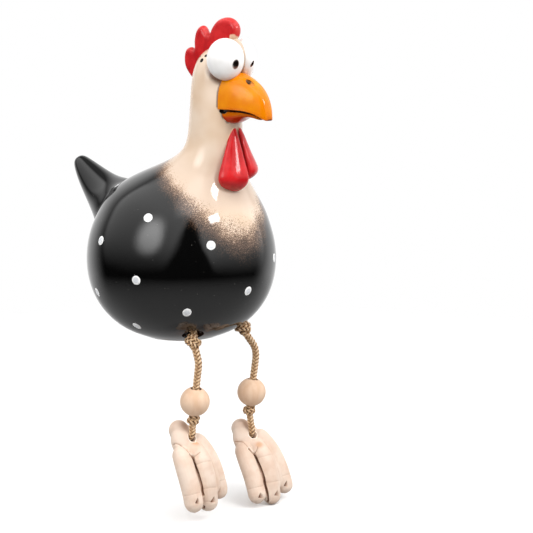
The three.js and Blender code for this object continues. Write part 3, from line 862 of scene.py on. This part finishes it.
def draw_tail(body):
    """The tail is drawn out of the back of the ball: a patch is opened and its edge extruded."""
    editing(body)
    bpy.ops.mesh.select_mode(type="FACE")
    bpy.ops.mesh.select_all(action="DESELECT")
    mesh = bmesh.from_edit_mesh(body.data)
    for face in mesh.faces:
        middle = face.calc_center_median()
        angle = math.degrees(math.atan2(middle.x, middle.y))
        in_height = TAIL_PATCH["low"] * MM < middle.z < TAIL_PATCH["high"] * MM
        face.select = in_height and abs(angle) < TAIL_PATCH["half_angle"] and middle.y > 0
    bpy.ops.mesh.delete(type="FACE")
    bpy.ops.mesh.select_mode(type="VERT")
    bpy.ops.mesh.select_all(action="DESELECT")
    bpy.ops.mesh.select_non_manifold()
    mesh = bmesh.from_edit_mesh(body.data)
    edge = [v for v in mesh.verts if v.select]
    root = place(*TAIL_ROOT)
    _, side, up, _ = tail_ring(0)

    def turn(v):
        return math.atan2((v.co - root).dot(up), (v.co - root).dot(side))

    edge.sort(key=turn)
    top = min(range(len(edge)), key=lambda i: abs(turn(edge[i]) - math.pi / 2))
    edge = edge[top:] + edge[:top]
    rings = []
    for index in range(len(TAIL)):
        middle, side, up, radius = tail_ring(index)
        rings.append(ring_of(middle, side * radius, up * radius, len(edge), math.pi / 2))
    pull(body, edge, rings)
    done_editing(filled=True)


def make_body():
    rows, rings = body_rows(), []
    for z, inside in BASE_RINGS:
        radius = (ball_radius(0) - inside) * MM
        rings.append(ring_of(place(0, 0, z), Vector((radius, 0, 0)), Vector((0, radius, 0)), BODY_SIDES))
    body = lofted(rings + [body_ring(z, 0, BODY_SIDES, rows, SMOOTHING_GAIN) for z in BODY_HEIGHTS])
    draw_tail(body)
    rounded(body)
    fuse(body, ball(place(*BROW[0]), BROW[1]))
    tools = [rounded(lofted([body_ring(z, WALL, CAVITY_SIDES, rows) for z in CAVITY_HEIGHTS]), 1)]
    for leg in (RIGHT_LEG, LEFT_LEG):
        hip = place(*leg["hip"])
        tools.append(post(hip, hip + mm(0, 0, HOLE_LENGTH), HOLE_RADIUS))
        tools += [ball(hip + mm(0, 0, rise), (radius,) * 3) for rise, radius in RECESSES]
    tools += [ball(place(*spot), (half,) * 3, None, 20, 14) for spot, half in HEAD_MARKS]
    cut(body, *tools)
    return finish_piece(body, "glazed_body", "hen", body_glaze(), ["body_shell"], 40)


DOTS = [
    (-51.9, 17.4, 85.9), (-58.5, -18.1, 68.8), (-32, 52.1, 69), (27.7, 57.4, 53.7), (-61.6, 15, 47),
    (-6, 61.7, 36.8), (-55.1, -25.6, 33.4), (-41.6, 40, 25.8), (-48.5, 2.8, 13.4), (-13.3, -42.3, 102),
    (52.4, 15, 84), (60, -12, 62), (59, 24, 38), (36, 46, 24), (49, -30, 36), (50, -4, 14), (32, -42, 92),
    (-30, -55, 46), (6, -60, 30), (30, -54, 50), (-24, -44, 18), (26, -40, 16),
]
DOT_RADIUS = 3.4
DOT_HEIGHT = 0.75
DOT_SINK = 0.42
TAIL_DOT = (-13.3, -42.3, 102)


def make_dots(body):
    """Each dot is a low cap of slip that lies on the body along its normal."""
    dots = []
    chance = random.Random(4)
    for across, ahead, z in DOTS:
        found, normal, _, _ = body.find_nearest(place(across, ahead, z))
        turn = turn_to(normal) @ Matrix.Rotation(chance.uniform(0, 6), 4, "Z")
        long = 1.9 if (across, ahead, z) == TAIL_DOT else chance.uniform(0.97, 1.06)
        dot = added("uv_sphere", segments=32, ring_count=16, radius=1)
        bisected(dot, (0, 0, -0.35), (0, 0, 1), clear_inner=True)
        carry(dot, "from_middle", lambda co: math.hypot(co.x, co.y))
        size = Matrix.Diagonal((DOT_RADIUS * long * MM, DOT_RADIUS / long ** 0.8 * MM, DOT_HEIGHT * MM, 1))
        dot.data.transform(Matrix.Translation(found - normal * DOT_SINK * MM) @ turn @ size)
        dots.append(dot)
    only(*dots)
    bpy.ops.object.join()
    return finish_piece(bpy.context.active_object, "slip_dots", "hen", dot_glaze(), (), 60)


# ---------- head ----------

COMB_OUTLINE = [
    (14.4, 170.6), (10.4, 173.8), (6.4, 179.4), (5.6, 185.8), (7.2, 190.8), (10.8, 192.2), (14, 191.2),
    (14.2, 196.6), (15.8, 202.4), (19, 205.6), (22.6, 205.4), (26.4, 200.6), (29.6, 205.4), (34, 209.4),
    (39.8, 211), (45.2, 210.2), (49, 207.2), (50.4, 203.2), (49.4, 198.8), (46.4, 196.2), (40, 192),
    (30, 184),
]
COMB_HALF = 3.8
COMB_ROUND = 3.4
COMB_VALLEYS = [((14.4, 191, 0), (18, 183, 0)), ((26.4, 200.4, 0), (24.4, 190, 0))]
EYE = {"across": 9.5, "ahead": 46.5, "z": 184.7, "half": (12, 7.2, 13.3), "yaw": 45, "gap": 0.15}
PUPILS = [
    (-1, (-8.8, 53.6, 181.9), (2.35, 2.6, 3.35), math.radians(14)),
    (1, (6.0, 55.6, 181.9), (1.1, 2.2, 2.5), math.radians(34)),
]
NOSTRIL = (4.8, 62.8, 170.4, (2.1, 4.1, 1.6))
NOSTRIL_TURN = (math.radians(32), 0, 0)
MOUTH_PIT = (9.4, 45.4, 152.3, (2.9, 2.7, 1.8))
HEAD_MARKS = [((-12.4, 29.3, 184.0), 1.25), ((-10.7, 31.3, 186.9), 0.8), ((-9.9, 32.6, 187.6), 0.7),
              ((-9.1, 25.4, 186.3), 0.6)]


def distance_to_line(a, b, p):
    t = min(max((p - a).dot(b - a) / (b - a).length_squared, 0), 1)
    return (p - a.lerp(b, t)).length


def from_valleys(spot):
    return [distance_to_line(Vector(a), Vector(b), spot) for a, b in COMB_VALLEYS]


def make_comb(body):
    outline = curve_through([Vector((ahead, z, 0)) for ahead, z in COMB_OUTLINE + COMB_OUTLINE[:1]], 0.8)[:-1]
    count = len(outline)
    front = [place(COMB_HALF, p.x, p.y) for p in outline]
    rear = [place(-COMB_HALF, p.x, p.y) for p in outline]
    sides = [(i, (i + 1) % count, count + (i + 1) % count, count + i) for i in range(count)]
    ends = [tuple(range(count)), tuple(reversed(range(count, 2 * count)))]
    comb = new_mesh("comb", front + rear, ends + sides)
    editing(comb)
    done_editing(outward=True)
    modified(comb, "REMESH", mode="VOXEL", voxel_size=0.6 * MM)
    edge_of = {}
    for v in comb.data.vertices:
        spot = Vector((-v.co.y / MM, v.co.z / MM, 0))
        away = min(distance_to_line(a, b, spot) for a, b in zip(outline, outline[1:] + outline[:1]))
        share = min(away / COMB_ROUND, 1)
        thick = math.sqrt(1 - (1 - share) ** 2)
        for valley in from_valleys(spot):
            thick *= 1 - 0.05 * bell(valley, 2)
        v.co.x *= thick
        edge_of[v.index] = 1 - share
    modified(comb, "SMOOTH", factor=0.5, iterations=6)
    field = comb.data.attributes.new("edge", "FLOAT", "POINT")
    field.data.foreach_set("value", [edge_of[i] for i in range(len(comb.data.vertices))])

    def bare(co):
        near = body.find_nearest(co)[3] / MM
        under = max(0, 1.3 - (Vector((-co.y / MM, co.z / MM)) - Vector((47.2, 198.4))).length / 3)
        return max(0.9 - near / 0.7, under, 0)

    def hollow(co):
        return max(bell(valley, 1.6) for valley in from_valleys(Vector((-co.y / MM, co.z / MM, 0))))

    carry(comb, "bare", bare)
    carry(comb, "hollow", hollow)
    return finish_piece(comb, "red_comb", "hen", red_glaze("red comb glaze"), ["comb"], 180)


def make_eyes():
    material = eye_glaze()
    made = []
    for name, side in (("right", -1), ("left", 1)):
        turn = Matrix.Rotation(math.radians(side * EYE["yaw"]), 4, "Z")
        eye = ball(place(side * EYE["across"], EYE["ahead"], EYE["z"]), EYE["half"], turn, 96, 64)
        bisected(eye, (side * EYE["gap"] * MM, 0, 0), (-side, 0, 0), clear_outer=True)
        for pupil_side, spot, pit, roll in PUPILS:
            if pupil_side == side:
                cut(eye, ball(place(*spot), pit, turn @ Matrix.Rotation(roll, 4, "Y"), 32, 24))
        made.append(finish_piece(eye, f"{name}_eyeball", "hen", material, [f"{name}_eye"], 35))
    return made


# Beak halves, as ahead, top, bottom and half width
UPPER_BEAK = [
    (36, 176, 152.6, 12), (43, 177.4, 152.6, 12.4), (50, 177.2, 152.6, 12), (56, 175, 152.5, 11),
    (61, 172.5, 151.9, 9.6), (65.6, 169.4, 150.8, 8.1), (69.8, 165.2, 148.8, 6.5), (72.8, 160, 146.8, 4.9),
    (74.3, 155, 146.3, 3.3), (74.9, 151.8, 147.4, 1.8),
]
LOWER_BEAK = [
    (37, 152.1, 144.8, 10.2), (44, 152.1, 143.6, 10.6), (49, 152.1, 143.8, 9.8), (53, 152, 145.8, 9),
    (57.5, 151.7, 148, 7.8), (62, 151, 148.2, 6.6), (66, 150, 147.2, 5.2), (68.8, 148.7, 146.4, 3.6),
]


def beak_half(table, flat_below):
    rings = []
    for ahead, top, bottom, half in table:
        height = top - bottom
        lip = min(height * 0.12, 1.3)
        middle = place(0, ahead, bottom + lip if flat_below else top - lip)

        def shape(angle):
            upper = math.sin(angle) > 0
            reach = height - lip if upper == flat_below else lip
            full = 1 + (0.09 if upper == flat_below else 0.2) * math.sin(2 * angle) ** 2
            return half * full * MM, reach * full * MM
        rings.append(ring_of(middle, Vector((1, 0, 0)), Vector((0, 0, 1)), 24, 0, shape))
    return rounded(lofted(rings))


def mouth_pits():
    across, ahead, z, half = MOUTH_PIT
    return [ball(place(side * across, ahead, z), half) for side in (-1, 1)]


def make_beak(body):
    material = beak_glaze()
    upper = beak_half(UPPER_BEAK, True)
    across, ahead, z, half = NOSTRIL
    for side in (-1, 1):
        turn = Matrix.Rotation(NOSTRIL_TURN[0], 4, "X")
        cut(upper, ball(place(side * across, ahead, z), half, turn, 32, 24))
    cut(upper, *mouth_pits())
    lower = cut(beak_half(LOWER_BEAK, False), *mouth_pits())
    for beak, which, table, lip in ((upper, "upper", UPPER_BEAK, 2), (lower, "lower", LOWER_BEAK, 1)):
        rows = [{"y": row[0], "mouth": row[lip]} for row in table]

        def mouth(co, rows=rows):
            line = between(rows, min(max(-co.y / MM, rows[0]["y"]), rows[-1]["y"]), "y")["mouth"]
            return abs(co.z / MM - line)
        carry(beak, "mouth", mouth)
        carry(beak, "root", lambda co: max(0, 1 - body.find_nearest(co)[3] / MM / 1.2))
        finish_piece(beak, f"beak_{which}_half", "hen", material, [f"{which}_beak"], 50)
    return [upper, lower]


WATTLE = {"top": 142, "root": 45.4, "lean": 0.77, "turn": 35}
WATTLE_PARTING = 1
# Rising share of the height, half width and half thickness
WATTLE_ROWS = [
    (0.012, 2.1, 2.2), (0.05, 5.2, 3.5), (0.11, 8.1, 4.4), (0.18, 9.9, 4.8), (0.26, 10.3, 4.7),
    (0.36, 9.3, 4.1), (0.48, 7.7, 3.5), (0.64, 5.8, 2.7), (0.8, 4, 2.1), (0.93, 2.3, 1.6), (0.99, 1.1, 1.1),
]


def make_wattles(body):
    material = red_glaze("red wattle glaze")
    turn = math.radians(WATTLE["turn"])
    for name, side, bottom in (("right", -1, 99.4), ("left", 1, 105.4)):
        rings = []
        for t, half, thick in WATTLE_ROWS:
            reach = math.hypot(half * math.cos(turn), thick * math.sin(turn)) + 0.15 + WATTLE_PARTING * t
            z = bottom + (WATTLE["top"] - bottom) * t
            middle = place(side * reach, WATTLE["root"] + WATTLE["lean"] * reach, z)
            one = Vector((math.cos(turn), side * math.sin(turn), 0)) * half * 1.01 * MM
            two = Vector((-side * math.sin(turn), math.cos(turn), 0)) * thick * 1.01 * MM
            rings.append(ring_of(middle, one, two, 20))
        wattle = rounded(lofted(rings))
        carry(wattle, "bare", lambda co: max(0, 1.1 - body.find_nearest(co)[3] / MM / 1.1))
        carry(wattle, "edge", lambda co: 0.0)
        carry(wattle, "hollow", lambda co: 0.0)
        finish_piece(wattle, f"{name}_red_wattle", "hen", material, [f"{name}_wattle"], 180)


# ---------- beads ----------

def make_bead(leg, material):
    """A bead is its own outline spun about its bore."""
    side, obj = leg["side"], added("circle", vertices=4)
    mouth = math.asin((BEAD_BORE_RADIUS + 0.45) / BEAD_RADIUS)
    outline = [(BEAD_BORE_RADIUS, 0.7 - BEAD_RADIUS * math.cos(mouth))]
    steps = 40
    for i in range(steps + 1):
        angle = mouth + (math.pi - 2 * mouth) * i / steps
        outline.append((BEAD_RADIUS * math.sin(angle), -BEAD_RADIUS * math.cos(angle)))
    end = BEAD_RADIUS * math.cos(mouth) - 0.7
    outline += [(BEAD_BORE_RADIUS, end * (1 - i / 4)) for i in range(8)]
    editing(obj)
    bpy.ops.mesh.select_all(action="SELECT")
    bpy.ops.mesh.delete(type="VERT")
    mesh = bmesh.from_edit_mesh(obj.data)
    points = [mesh.verts.new(mm(r, 0, h)) for r, h in outline]
    for a, b in zip(points, points[1:] + points[:1]):
        mesh.edges.new((a, b))
    for v in mesh.verts:
        v.select = True
    mesh.select_flush(True)
    bmesh.update_edit_mesh(obj.data)
    bpy.ops.mesh.spin(steps=56, angle=math.tau, center=(0, 0, 0), axis=(0, 0, 1))
    bpy.ops.mesh.select_all(action="SELECT")
    bpy.ops.mesh.remove_doubles(threshold=0.01 * MM)
    done_editing(outward=True)
    carry(obj, "mouth", lambda co: 1.0 if math.hypot(co.x, co.y) < (BEAD_BORE_RADIUS + 0.2) * MM else 0.0)
    obj.data.transform(Matrix.Translation(place(*leg["bead"])) @ turn_to(RUNS[side]))
    return finish_piece(obj, f"{side}_wooden_bead", f"{side}_bead", material, [f"{side}_bead"], 50)


# ---------- feet ----------

FOOT_BORE_RADIUS = 3.3
FOOT_PAD = ((1.6, 0.4, -6.8), (12.6, 11.6, 7.3))
FOOT_WEB = ((20, 6.2, -1.2), (21, 5.6, 6.2))
BACK_TOE = [(5, 0, -7.4), (-3, -0.4, -7.6), (-14, -0.8, -8)]
BACK_TOE_RADIUS = 6.8
# Each foot in its own millimetres: along the toes, across, and above the instep
FEET = {
    "right": {
        "toes": [
            ([(3, -0.6, -5.6), (16, -1.2, 1.1), (32, -1.2, -0.4), (49.4, -0.4, -7.4)], 6.5),
            ([(3, -7.6, -6.6), (15, -12.6, -3.8), (30, -14, -4.2), (46.4, -14.4, -6.6)], 6.3),
            ([(-1, 5, -4), (8, 8.6, -2), (18, 11.4, -1.2), (30, 12.2, -1.8), (45.6, 13.2, -5.4)], 6.1),
        ],
        "deep": [
            (9.9, -9.4, 1.1), (12.6, -7.9, 0.7), (15.1, -8.2, 1.2), (17.8, -7.8, 0.7), (22, -7.7, 0.8),
            (26.6, -7.6, 0.5), (32.1, -7.7, -0.2), (35.4, -7.8, -1.3), (38.5, -8.2, -1.6),
            (41.5, -8.6, -2.4), (46, -8.6, -5), (48, -8, -8),
        ],
        "seam": [
            (0.2, -10.6, -9), (0.4, -9.3, -7.6), (0.1, -9.4, -5.9), (1.2, -9.1, -5.0), (2.5, -8.9, -4.1),
            (4.3, -10.3, -1.6), (5.9, -10.3, -0.3), (9.9, -9.8, 1.1),
        ],
        "web": [(12.2, -8.6, 1.5), (12.4, -5.5, 1.6), (11.7, -4.4, 3.6), (11.2, -3.2, 4.3)],
        "valley": [
            (6, 5, 0), (12, 5.4, 2), (20, 5.6, 2.4), (28, 5.8, 1.6), (36, 6, 0.4), (44, 6.6, -3.4),
        ],
        "creases": [
            [(33.6, -18.4, -6), (33.7, -17.2, -4.2), (34.2, -15.6, -0.9), (34.9, -12.6, 0.8)],
            [(17.2, -7.4, 0.8), (17.4, -5.4, 3.8), (17.7, -3.5, 6.1), (18.4, -0.2, 7.2), (18.8, 3, 5.6)],
            [(33.8, -7, -0.4), (34.2, -5.1, 2.4), (34.9, -3.2, 3.9), (35.9, -0.5, 4.7), (36, 3.2, 3.4)],
            [(42.4, -6.6, -2.4), (42.5, -5.2, -1.3), (43.3, -3.5, 0.3), (43.6, -1.6, 0.8)],
            [(33.1, 7, 0.2), (33.5, 11.0, 1.2), (33.6, 15, -0.6)],
        ],
        "nails": [
            ((37.4, -16.3, 0.8), (39.8, -18.4, -0.7), (41.6, -15.6, 0.2)),
            ((41.1, -2.5, 3.0), (43.8, -4.9, 0.3), (45.0, -1.2, 1.4)),
            ((37.3, 8.6, 1.6), (40.2, 6.8, -0.2), (41.6, 9.4, 0.4)),
        ],
        "tan": [(4.8, -0.8, 1.6, 3)],
    },
    "left": {
        "toes": [
            ([(3, 0, -5.6), (16, 0, 1.3), (32, 0, -0.2), (49.2, 0, -7.4)], 6.2),
            ([(3, -6.8, -6.6), (15, -10.8, -3.8), (30, -11.5, -4.2), (45.6, -12.4, -6.6)], 6.1),
            ([(-2, 5.6, -3.6), (8, 9.4, -1.2), (18, 12, -0.6), (30, 13, -1.4), (45.6, 14, -5)], 6.2),
        ],
        "deep": [
            (9.2, -9.2, 1.0), (13.4, -7.3, 0.9), (16.2, -5.9, 0.4), (20.3, -6.0, 1.0), (25.8, -6.1, 1.1),
            (30.5, -6.1, 0.6), (35.5, -6.2, -0.8), (40.7, -6.2, -1.8), (46.4, -6.2, -4.9), (48, -6.2, -8),
        ],
        "seam": [
            (0.4, -10.4, -8), (1.4, -9.3, -5.6), (2.8, -8.5, -3.6), (5.9, -9.5, -0.3), (9.2, -9.2, 1.0),
        ],
        "web": [(13.4, -7.3, 0.9), (13.0, -5.5, 1.7), (11.6, -4.7, 3.3), (9.8, -3.4, 3.7)],
        "valley": [
            (8, 5.4, 0.6), (18, 5.8, 2), (25.5, 6, 1.9), (32, 6.2, 1), (39.0, 6.4, -1), (46, 6.6, -4),
        ],
        "creases": [
            [(33.9, -18, -8), (34.1, -17.2, -6.3), (34.8, -16.7, -1.7), (35.5, -14.0, 0.6), (35.6, -8.6, 0.6)],
            [(16.8, -5.9, 1.9), (17.3, -5.0, 5.0), (17.7, -2.9, 6.5), (17.8, 3.5, 6.1)],
            [(33.9, -5.8, 0.0), (35.5, -3.8, 3.4), (36.1, -0.8, 4.6), (36.2, 4.4, 3.6)],
            [(33.7, 7.4, 0.2), (33.8, 12, 1.4), (33.8, 15.8, 0.2)],
        ],
        "nails": [
            ((39.5, -13.7, 0.3), (41.9, -15.6, -1.3), (43.8, -11.3, -1.2)),
            ((42.0, 0.0, 2.5), (44.2, -2.7, 1.0), (46.2, 1.6, 0.6)),
            ((38.3, 11.3, 2.7), (40.4, 9.2, 0.8), (42.2, 11.6, 1.4)),
        ],
        "tan": [(8.8, -2.0, 4.4, 3.2), (10.5, 7.4, 1.3, 1.5)],
    },
}


def finger(bends, radius, rows=14, sides=20):
    """A finger with round ends, drawn along a smooth line through its bends."""
    line = curve_through([mm(*bend) for bend in bends], 0.2 * MM)
    length = sum((b - a).length for a, b in zip(line, line[1:])) / MM
    frames = frames_along(line)
    rings = []
    for i in range(rows + 1):
        t = 0.5 - 0.5 * math.cos(math.pi * (0.03 + 0.94 * i / rows))
        spot = min(round(t * (len(line) - 1)), len(line) - 1)
        forward = frames[spot][0]
        from_end = min(t, 1 - t) * length / radius
        full = math.sqrt(1 - (1 - from_end) ** 2) if from_end < 1 else 1
        one = Vector((0, 1, 0))
        one = (one - forward * one.dot(forward)).normalized() * radius * full * MM
        two = forward.cross(one)
        rings.append(ring_of(line[spot], one, two, sides))
    return lofted(rings)


def lying_on(tree, points):
    """A line through points, laid on a surface."""
    return [tree.find_nearest(point)[0] for point in curve_through([mm(*p) for p in points], 1.2 * MM)]


def away_from(lines):
    """A function that tells how far a place is from the nearest of some lines, in millimetres."""
    near = KDTree(sum(len(line) * 6 for line in lines))
    count = 0
    for line in lines:
        for a, b in zip(line, line[1:]):
            for k in range(6):
                near.insert(a.lerp(b, k / 6), count)
                count += 1
    near.balance()
    return lambda co: near.find(co)[2] / MM


NAIL_SPREAD = 1.4


def nail_cut(tree, apex, left, right):
    """A nail is a wedge pressed into the toe: steep on one side, and a slope on the other."""
    places = []
    for point in (apex, left, right):
        found, normal, _, _ = tree.find_nearest(mm(*point))
        places.append((found, normal))
    out = sum((normal for _, normal in places), Vector()).normalized()
    middle = sum((found for found, _ in places), Vector()) / 3
    places = [(middle.lerp(found, NAIL_SPREAD), normal) for found, normal in places]
    tops = [found + out * 0.5 * MM for found, _ in places]
    lift = [top + out * 2.4 * MM for top in tops]
    deep = tops[1].lerp(tops[2], 0.3) - out * 2.5 * MM
    shallow = tops[0].lerp(deep, 0.3) - out * 0.5 * MM
    points = lift + tops + [deep, shallow]
    faces = [(0, 1, 2), (0, 3, 4, 1), (1, 4, 5, 2), (2, 5, 3, 0), (3, 7, 4), (4, 7, 6), (3, 5, 7), (5, 6, 7),
             (4, 6, 5)]
    tool = new_mesh("nail", points, faces)
    editing(tool)
    done_editing(outward=True)
    return tool


def carve(foot, look):
    """Cuts bore and nails, presses parting lines and creases in, and notes where stain lies and where a
    painted highlight goes on the burrs and the bore's rim.
    """
    before = surface_tree(foot)
    deep = away_from([lying_on(before, look["deep"])])
    seam = away_from([lying_on(before, look[key]) for key in ("seam", "web")])
    valley = away_from([lying_on(before, look["valley"])])
    creases = away_from([lying_on(before, line) for line in look["creases"]])
    bore = post(mm(0, 0, -20), mm(0, 0, 10), FOOT_BORE_RADIUS, 40)
    pit = ball(mm(0, 0, -STOPPER_DEPTH), (STOPPER_RADIUS + 0.3,) * 3)
    cut(foot, bore, pit, *(nail_cut(before, *nail) for nail in look["nails"]))

    def below(co):
        found, normal, _, _ = before.find_nearest(co)
        return max((found - co).dot(normal) / MM, 0)

    def groove(co):
        lines = max(bell(deep(co), 0.85), 0.62 * bell(seam(co), 0.5), 0.38 * bell(creases(co), 0.45),
                    0.26 * bell(valley(co), 0.7))
        return max(lines, min(below(co) / 1.2, 1))

    # painted highlight: the bore's rim and the raised burr beside the deep line
    def light(co):
        rim = bell(math.hypot(co.x, co.y) / MM - FOOT_BORE_RADIUS - 0.35, 0.35) if co.z > -6 * MM else 0
        return max(rim * 0.9, 0.7 * bell(deep(co) - 1.35, 0.4))

    def brown(co):
        return bell((co - mm(-8.6, -0.6, -2.6)).length / MM, 4.6)

    def tan(co):
        return max(bell((co - mm(u, v, n)).length / MM, size) for u, v, n, size in look["tan"])

    for name, number in (("groove", groove), ("light", light), ("brown", brown), ("tan", tan)):
        carry(foot, name, number)
    moves = []
    for v in foot.data.vertices:
        into = 1.2 * bell(deep(v.co), 0.85) + 0.3 * bell(valley(v.co), 1.1)
        into += 0.45 * bell(seam(v.co), 0.5) + 0.26 * bell(creases(v.co), 0.5)
        into -= 0.2 * bell(deep(v.co) - 1.7, 0.45)
        moves.append(v.normal * into * MM)
    for v, move in zip(foot.data.vertices, moves):
        v.co -= move


def make_feet():
    material = bisque()
    for leg in (RIGHT_LEG, LEFT_LEG):
        side = leg["side"]
        pad, web = (ball(mm(*middle), half) for middle, half in (FOOT_PAD, FOOT_WEB))
        toes = [finger(bends, radius) for bends, radius in FEET[side]["toes"]]
        foot = fuse(pad, web, *toes, finger(BACK_TOE, BACK_TOE_RADIUS))
        modified(foot, "REMESH", mode="VOXEL", voxel_size=0.45 * MM)
        modified(foot, "SMOOTH", factor=0.5, iterations=7)
        carve(foot, FEET[side])
        foot.data.transform(foot_place(leg))
        finish_piece(foot, f"{side}_bisque_foot", f"{side}_foot", material, [f"{side}_foot"], 60)


def note_nearness(body, name, pieces, lowest, reach):
    """How near each point of the body above a height lies to the pieces that are luted on it."""
    trees = [surface_tree(piece) for piece in pieces]

    def nearness(co):
        if co.z < lowest * MM:
            return 0
        return bell(min(tree.find_nearest(co)[3] for tree in trees) / MM, reach)

    carry(body, name, nearness)


BODY = make_body()
SHELL = surface_tree(BODY)
make_dots(SHELL)
# Nearness to the eyes, beak and comb, which the body glaze turns into painted shade round the eyes and joint
# lines at beak and comb
note_nearness(BODY, "by_comb", [make_comb(SHELL)], 165, 0.7)
note_nearness(BODY, "by_eye", make_eyes(), 160, 3.8)
note_nearness(BODY, "by_beak", make_beak(SHELL), 135, 0.9)
make_wattles(SHELL)
WOOD = bead_wood()
for LEG in (RIGHT_LEG, LEFT_LEG):
    make_bead(LEG, WOOD)
make_feet()


# ---------- floor and light ----------

WHITE = (1, 1, 1, 1)
FLOOR_RADIUS = 1.2
FLOOR_GLOW = 0.03
FLOOR_SHADE = 0.4
LIGHTS_AIM = Vector((0, 0, 0.06))
ROOM_BEHIND = 1.1
ROOM_ABOVE = 0.3
ROOM_DARK = 0.004


def make_floor():
    """A round white floor that fades into the white room."""
    floor = added("circle", vertices=96, radius=FLOOR_RADIUS, fill_type="NGON", location=(0, 0, FLOOR_Z * MM))
    floor.name = "floor"
    only(floor)
    bpy.ops.object.transform_apply(location=True, rotation=True, scale=True)
    paint = Paint("white floor", roughness=0.8)
    paint.shader.inputs["Specular IOR Level"].default_value = 0.0
    shade = paint.mix(paint.noise(400, 1), (250, 250, 250), (247, 247, 247))
    from_middle = paint.from_point(0, 0, FLOOR_Z, (FLOOR_RADIUS / MM,) * 3)
    solid = 1 - from_middle.step(0.1, 0.6)
    floor.data.materials.append(paint.put(Base_Color=shade, Alpha=solid))
    paint.shader.inputs["Emission Color"].default_value = WHITE
    paint.shader.inputs["Emission Strength"].default_value = FLOOR_GLOW
    dim = paint.node("ShaderNodeBsdfDiffuse", None, {"Color": (*[FLOOR_SHADE] * 3, 1)})
    clear = paint.node("ShaderNodeBsdfTransparent")
    faded = paint.node("ShaderNodeMixShader", None, {0: solid, 1: clear.outputs[0], 2: dim.outputs[0]})
    path = paint.node("ShaderNodeLightPath")
    mixed = paint.node("ShaderNodeMixShader", None, {0: path.outputs["Is Camera Ray"], 1: faded.outputs[0],
                                                     2: paint.shader.outputs[0]})
    paint.tree.links.new(mixed.outputs[0], paint.tree.nodes["Material Output"].inputs[0])


def soft_light(name, azimuth, elevation, distance, size, radiance, edges=(0.02, 0.02, 0.02), glow=None):
    """A panel that faces the object; azimuth is counted from the camera, to its right.

    It fades at its sides, foot and top. It may glow at one place, given as shares of its width and height,
    a reach and a strength.
    """
    bearing = math.radians(azimuth) + math.atan2(CAMERA_PLACE[1], CAMERA_PLACE[0])
    rise = math.radians(elevation)
    level = math.cos(rise)
    spot = Vector((math.cos(bearing) * level, math.sin(bearing) * level, math.sin(rise))) * distance
    bpy.ops.object.light_add(type="AREA", location=spot + LIGHTS_AIM)
    light = bpy.context.object
    light.name = name
    light.data.shape = "RECTANGLE"
    light.data.size, light.data.size_y = size
    light.data.energy = radiance * math.pi * size[0] * size[1]
    light.rotation_euler = spot.to_track_quat("Z", "Y").to_euler()
    light.visible_camera = False
    nodes = Nodes(light.data)
    u, v, _ = nodes.split(nodes.node("ShaderNodeNewGeometry").outputs["Parametric"])
    sides, foot, top = edges
    strength = u.step(0, sides) * (1 - u).step(0, sides) * v.step(0, foot) * (1 - v).step(0, top)
    if glow:
        at_u, at_v, reach, power = glow
        far = ((u - at_u) * size[0]) ** 2 + ((v - at_v) * size[1]) ** 2
        strength = strength * (1 + (1 - far.step(0, reach ** 2)) ** 6 * power)
    nodes.tree.links.new(strength.socket, nodes.tree.nodes["Emission"].inputs["Strength"])


def set_world():
    """A room that is bright behind and above the object and dark behind the camera, and is seen as white."""
    world = bpy.data.worlds.new("white room")
    bpy.context.scene.world = world
    nodes = Nodes(world)
    spot = nodes.node("ShaderNodeTexCoord").outputs["Generated"]

    def toward(way, low, high, strength):
        facing = nodes.node("ShaderNodeVectorMath", {"operation": "DOT_PRODUCT"}, {0: spot, 1: way})
        return Value(nodes, facing.outputs["Value"]).step(low, high) * strength

    behind = toward(CAMERA_FORWARD, 0.2, 0.75, ROOM_BEHIND)
    around = behind.most(toward((0, 0, 1), 0.6, 0.95, ROOM_ABOVE)) + ROOM_DARK
    back = nodes.tree.nodes["Background"]
    back.inputs["Color"].default_value = WHITE
    nodes.tree.links.new(around.socket, back.inputs["Strength"])
    seen = nodes.node("ShaderNodeBackground", None, {"Color": WHITE, "Strength": 1.0})
    ray = nodes.node("ShaderNodeLightPath").outputs["Is Camera Ray"]
    mixed = nodes.node("ShaderNodeMixShader", None, {0: ray, 1: back.outputs[0], 2: seen.outputs[0]})
    nodes.tree.links.new(mixed.outputs[0], nodes.tree.nodes["World Output"].inputs[0])


make_floor()
soft_light("left panel", -62, 36, 1.2, (3.5, 2.7), 1.65, (0.16, 0.75, 0.2), (0.62, 0.42, 0.75, 4.8))
soft_light("right panel", 75, 31, 1.2, (2.8, 2.6), 1.8, (0.12, 0.55, 0.2))
soft_light("front panel", 14, 58, 1.2, (1.0, 0.7), 1.8, (0.35, 0.35, 0.35))
soft_light("small window", 46.4, 34.5, 1.1, (0.25, 0.17), 26)
set_world()
bpy.context.scene.view_settings.view_transform = "Standard"
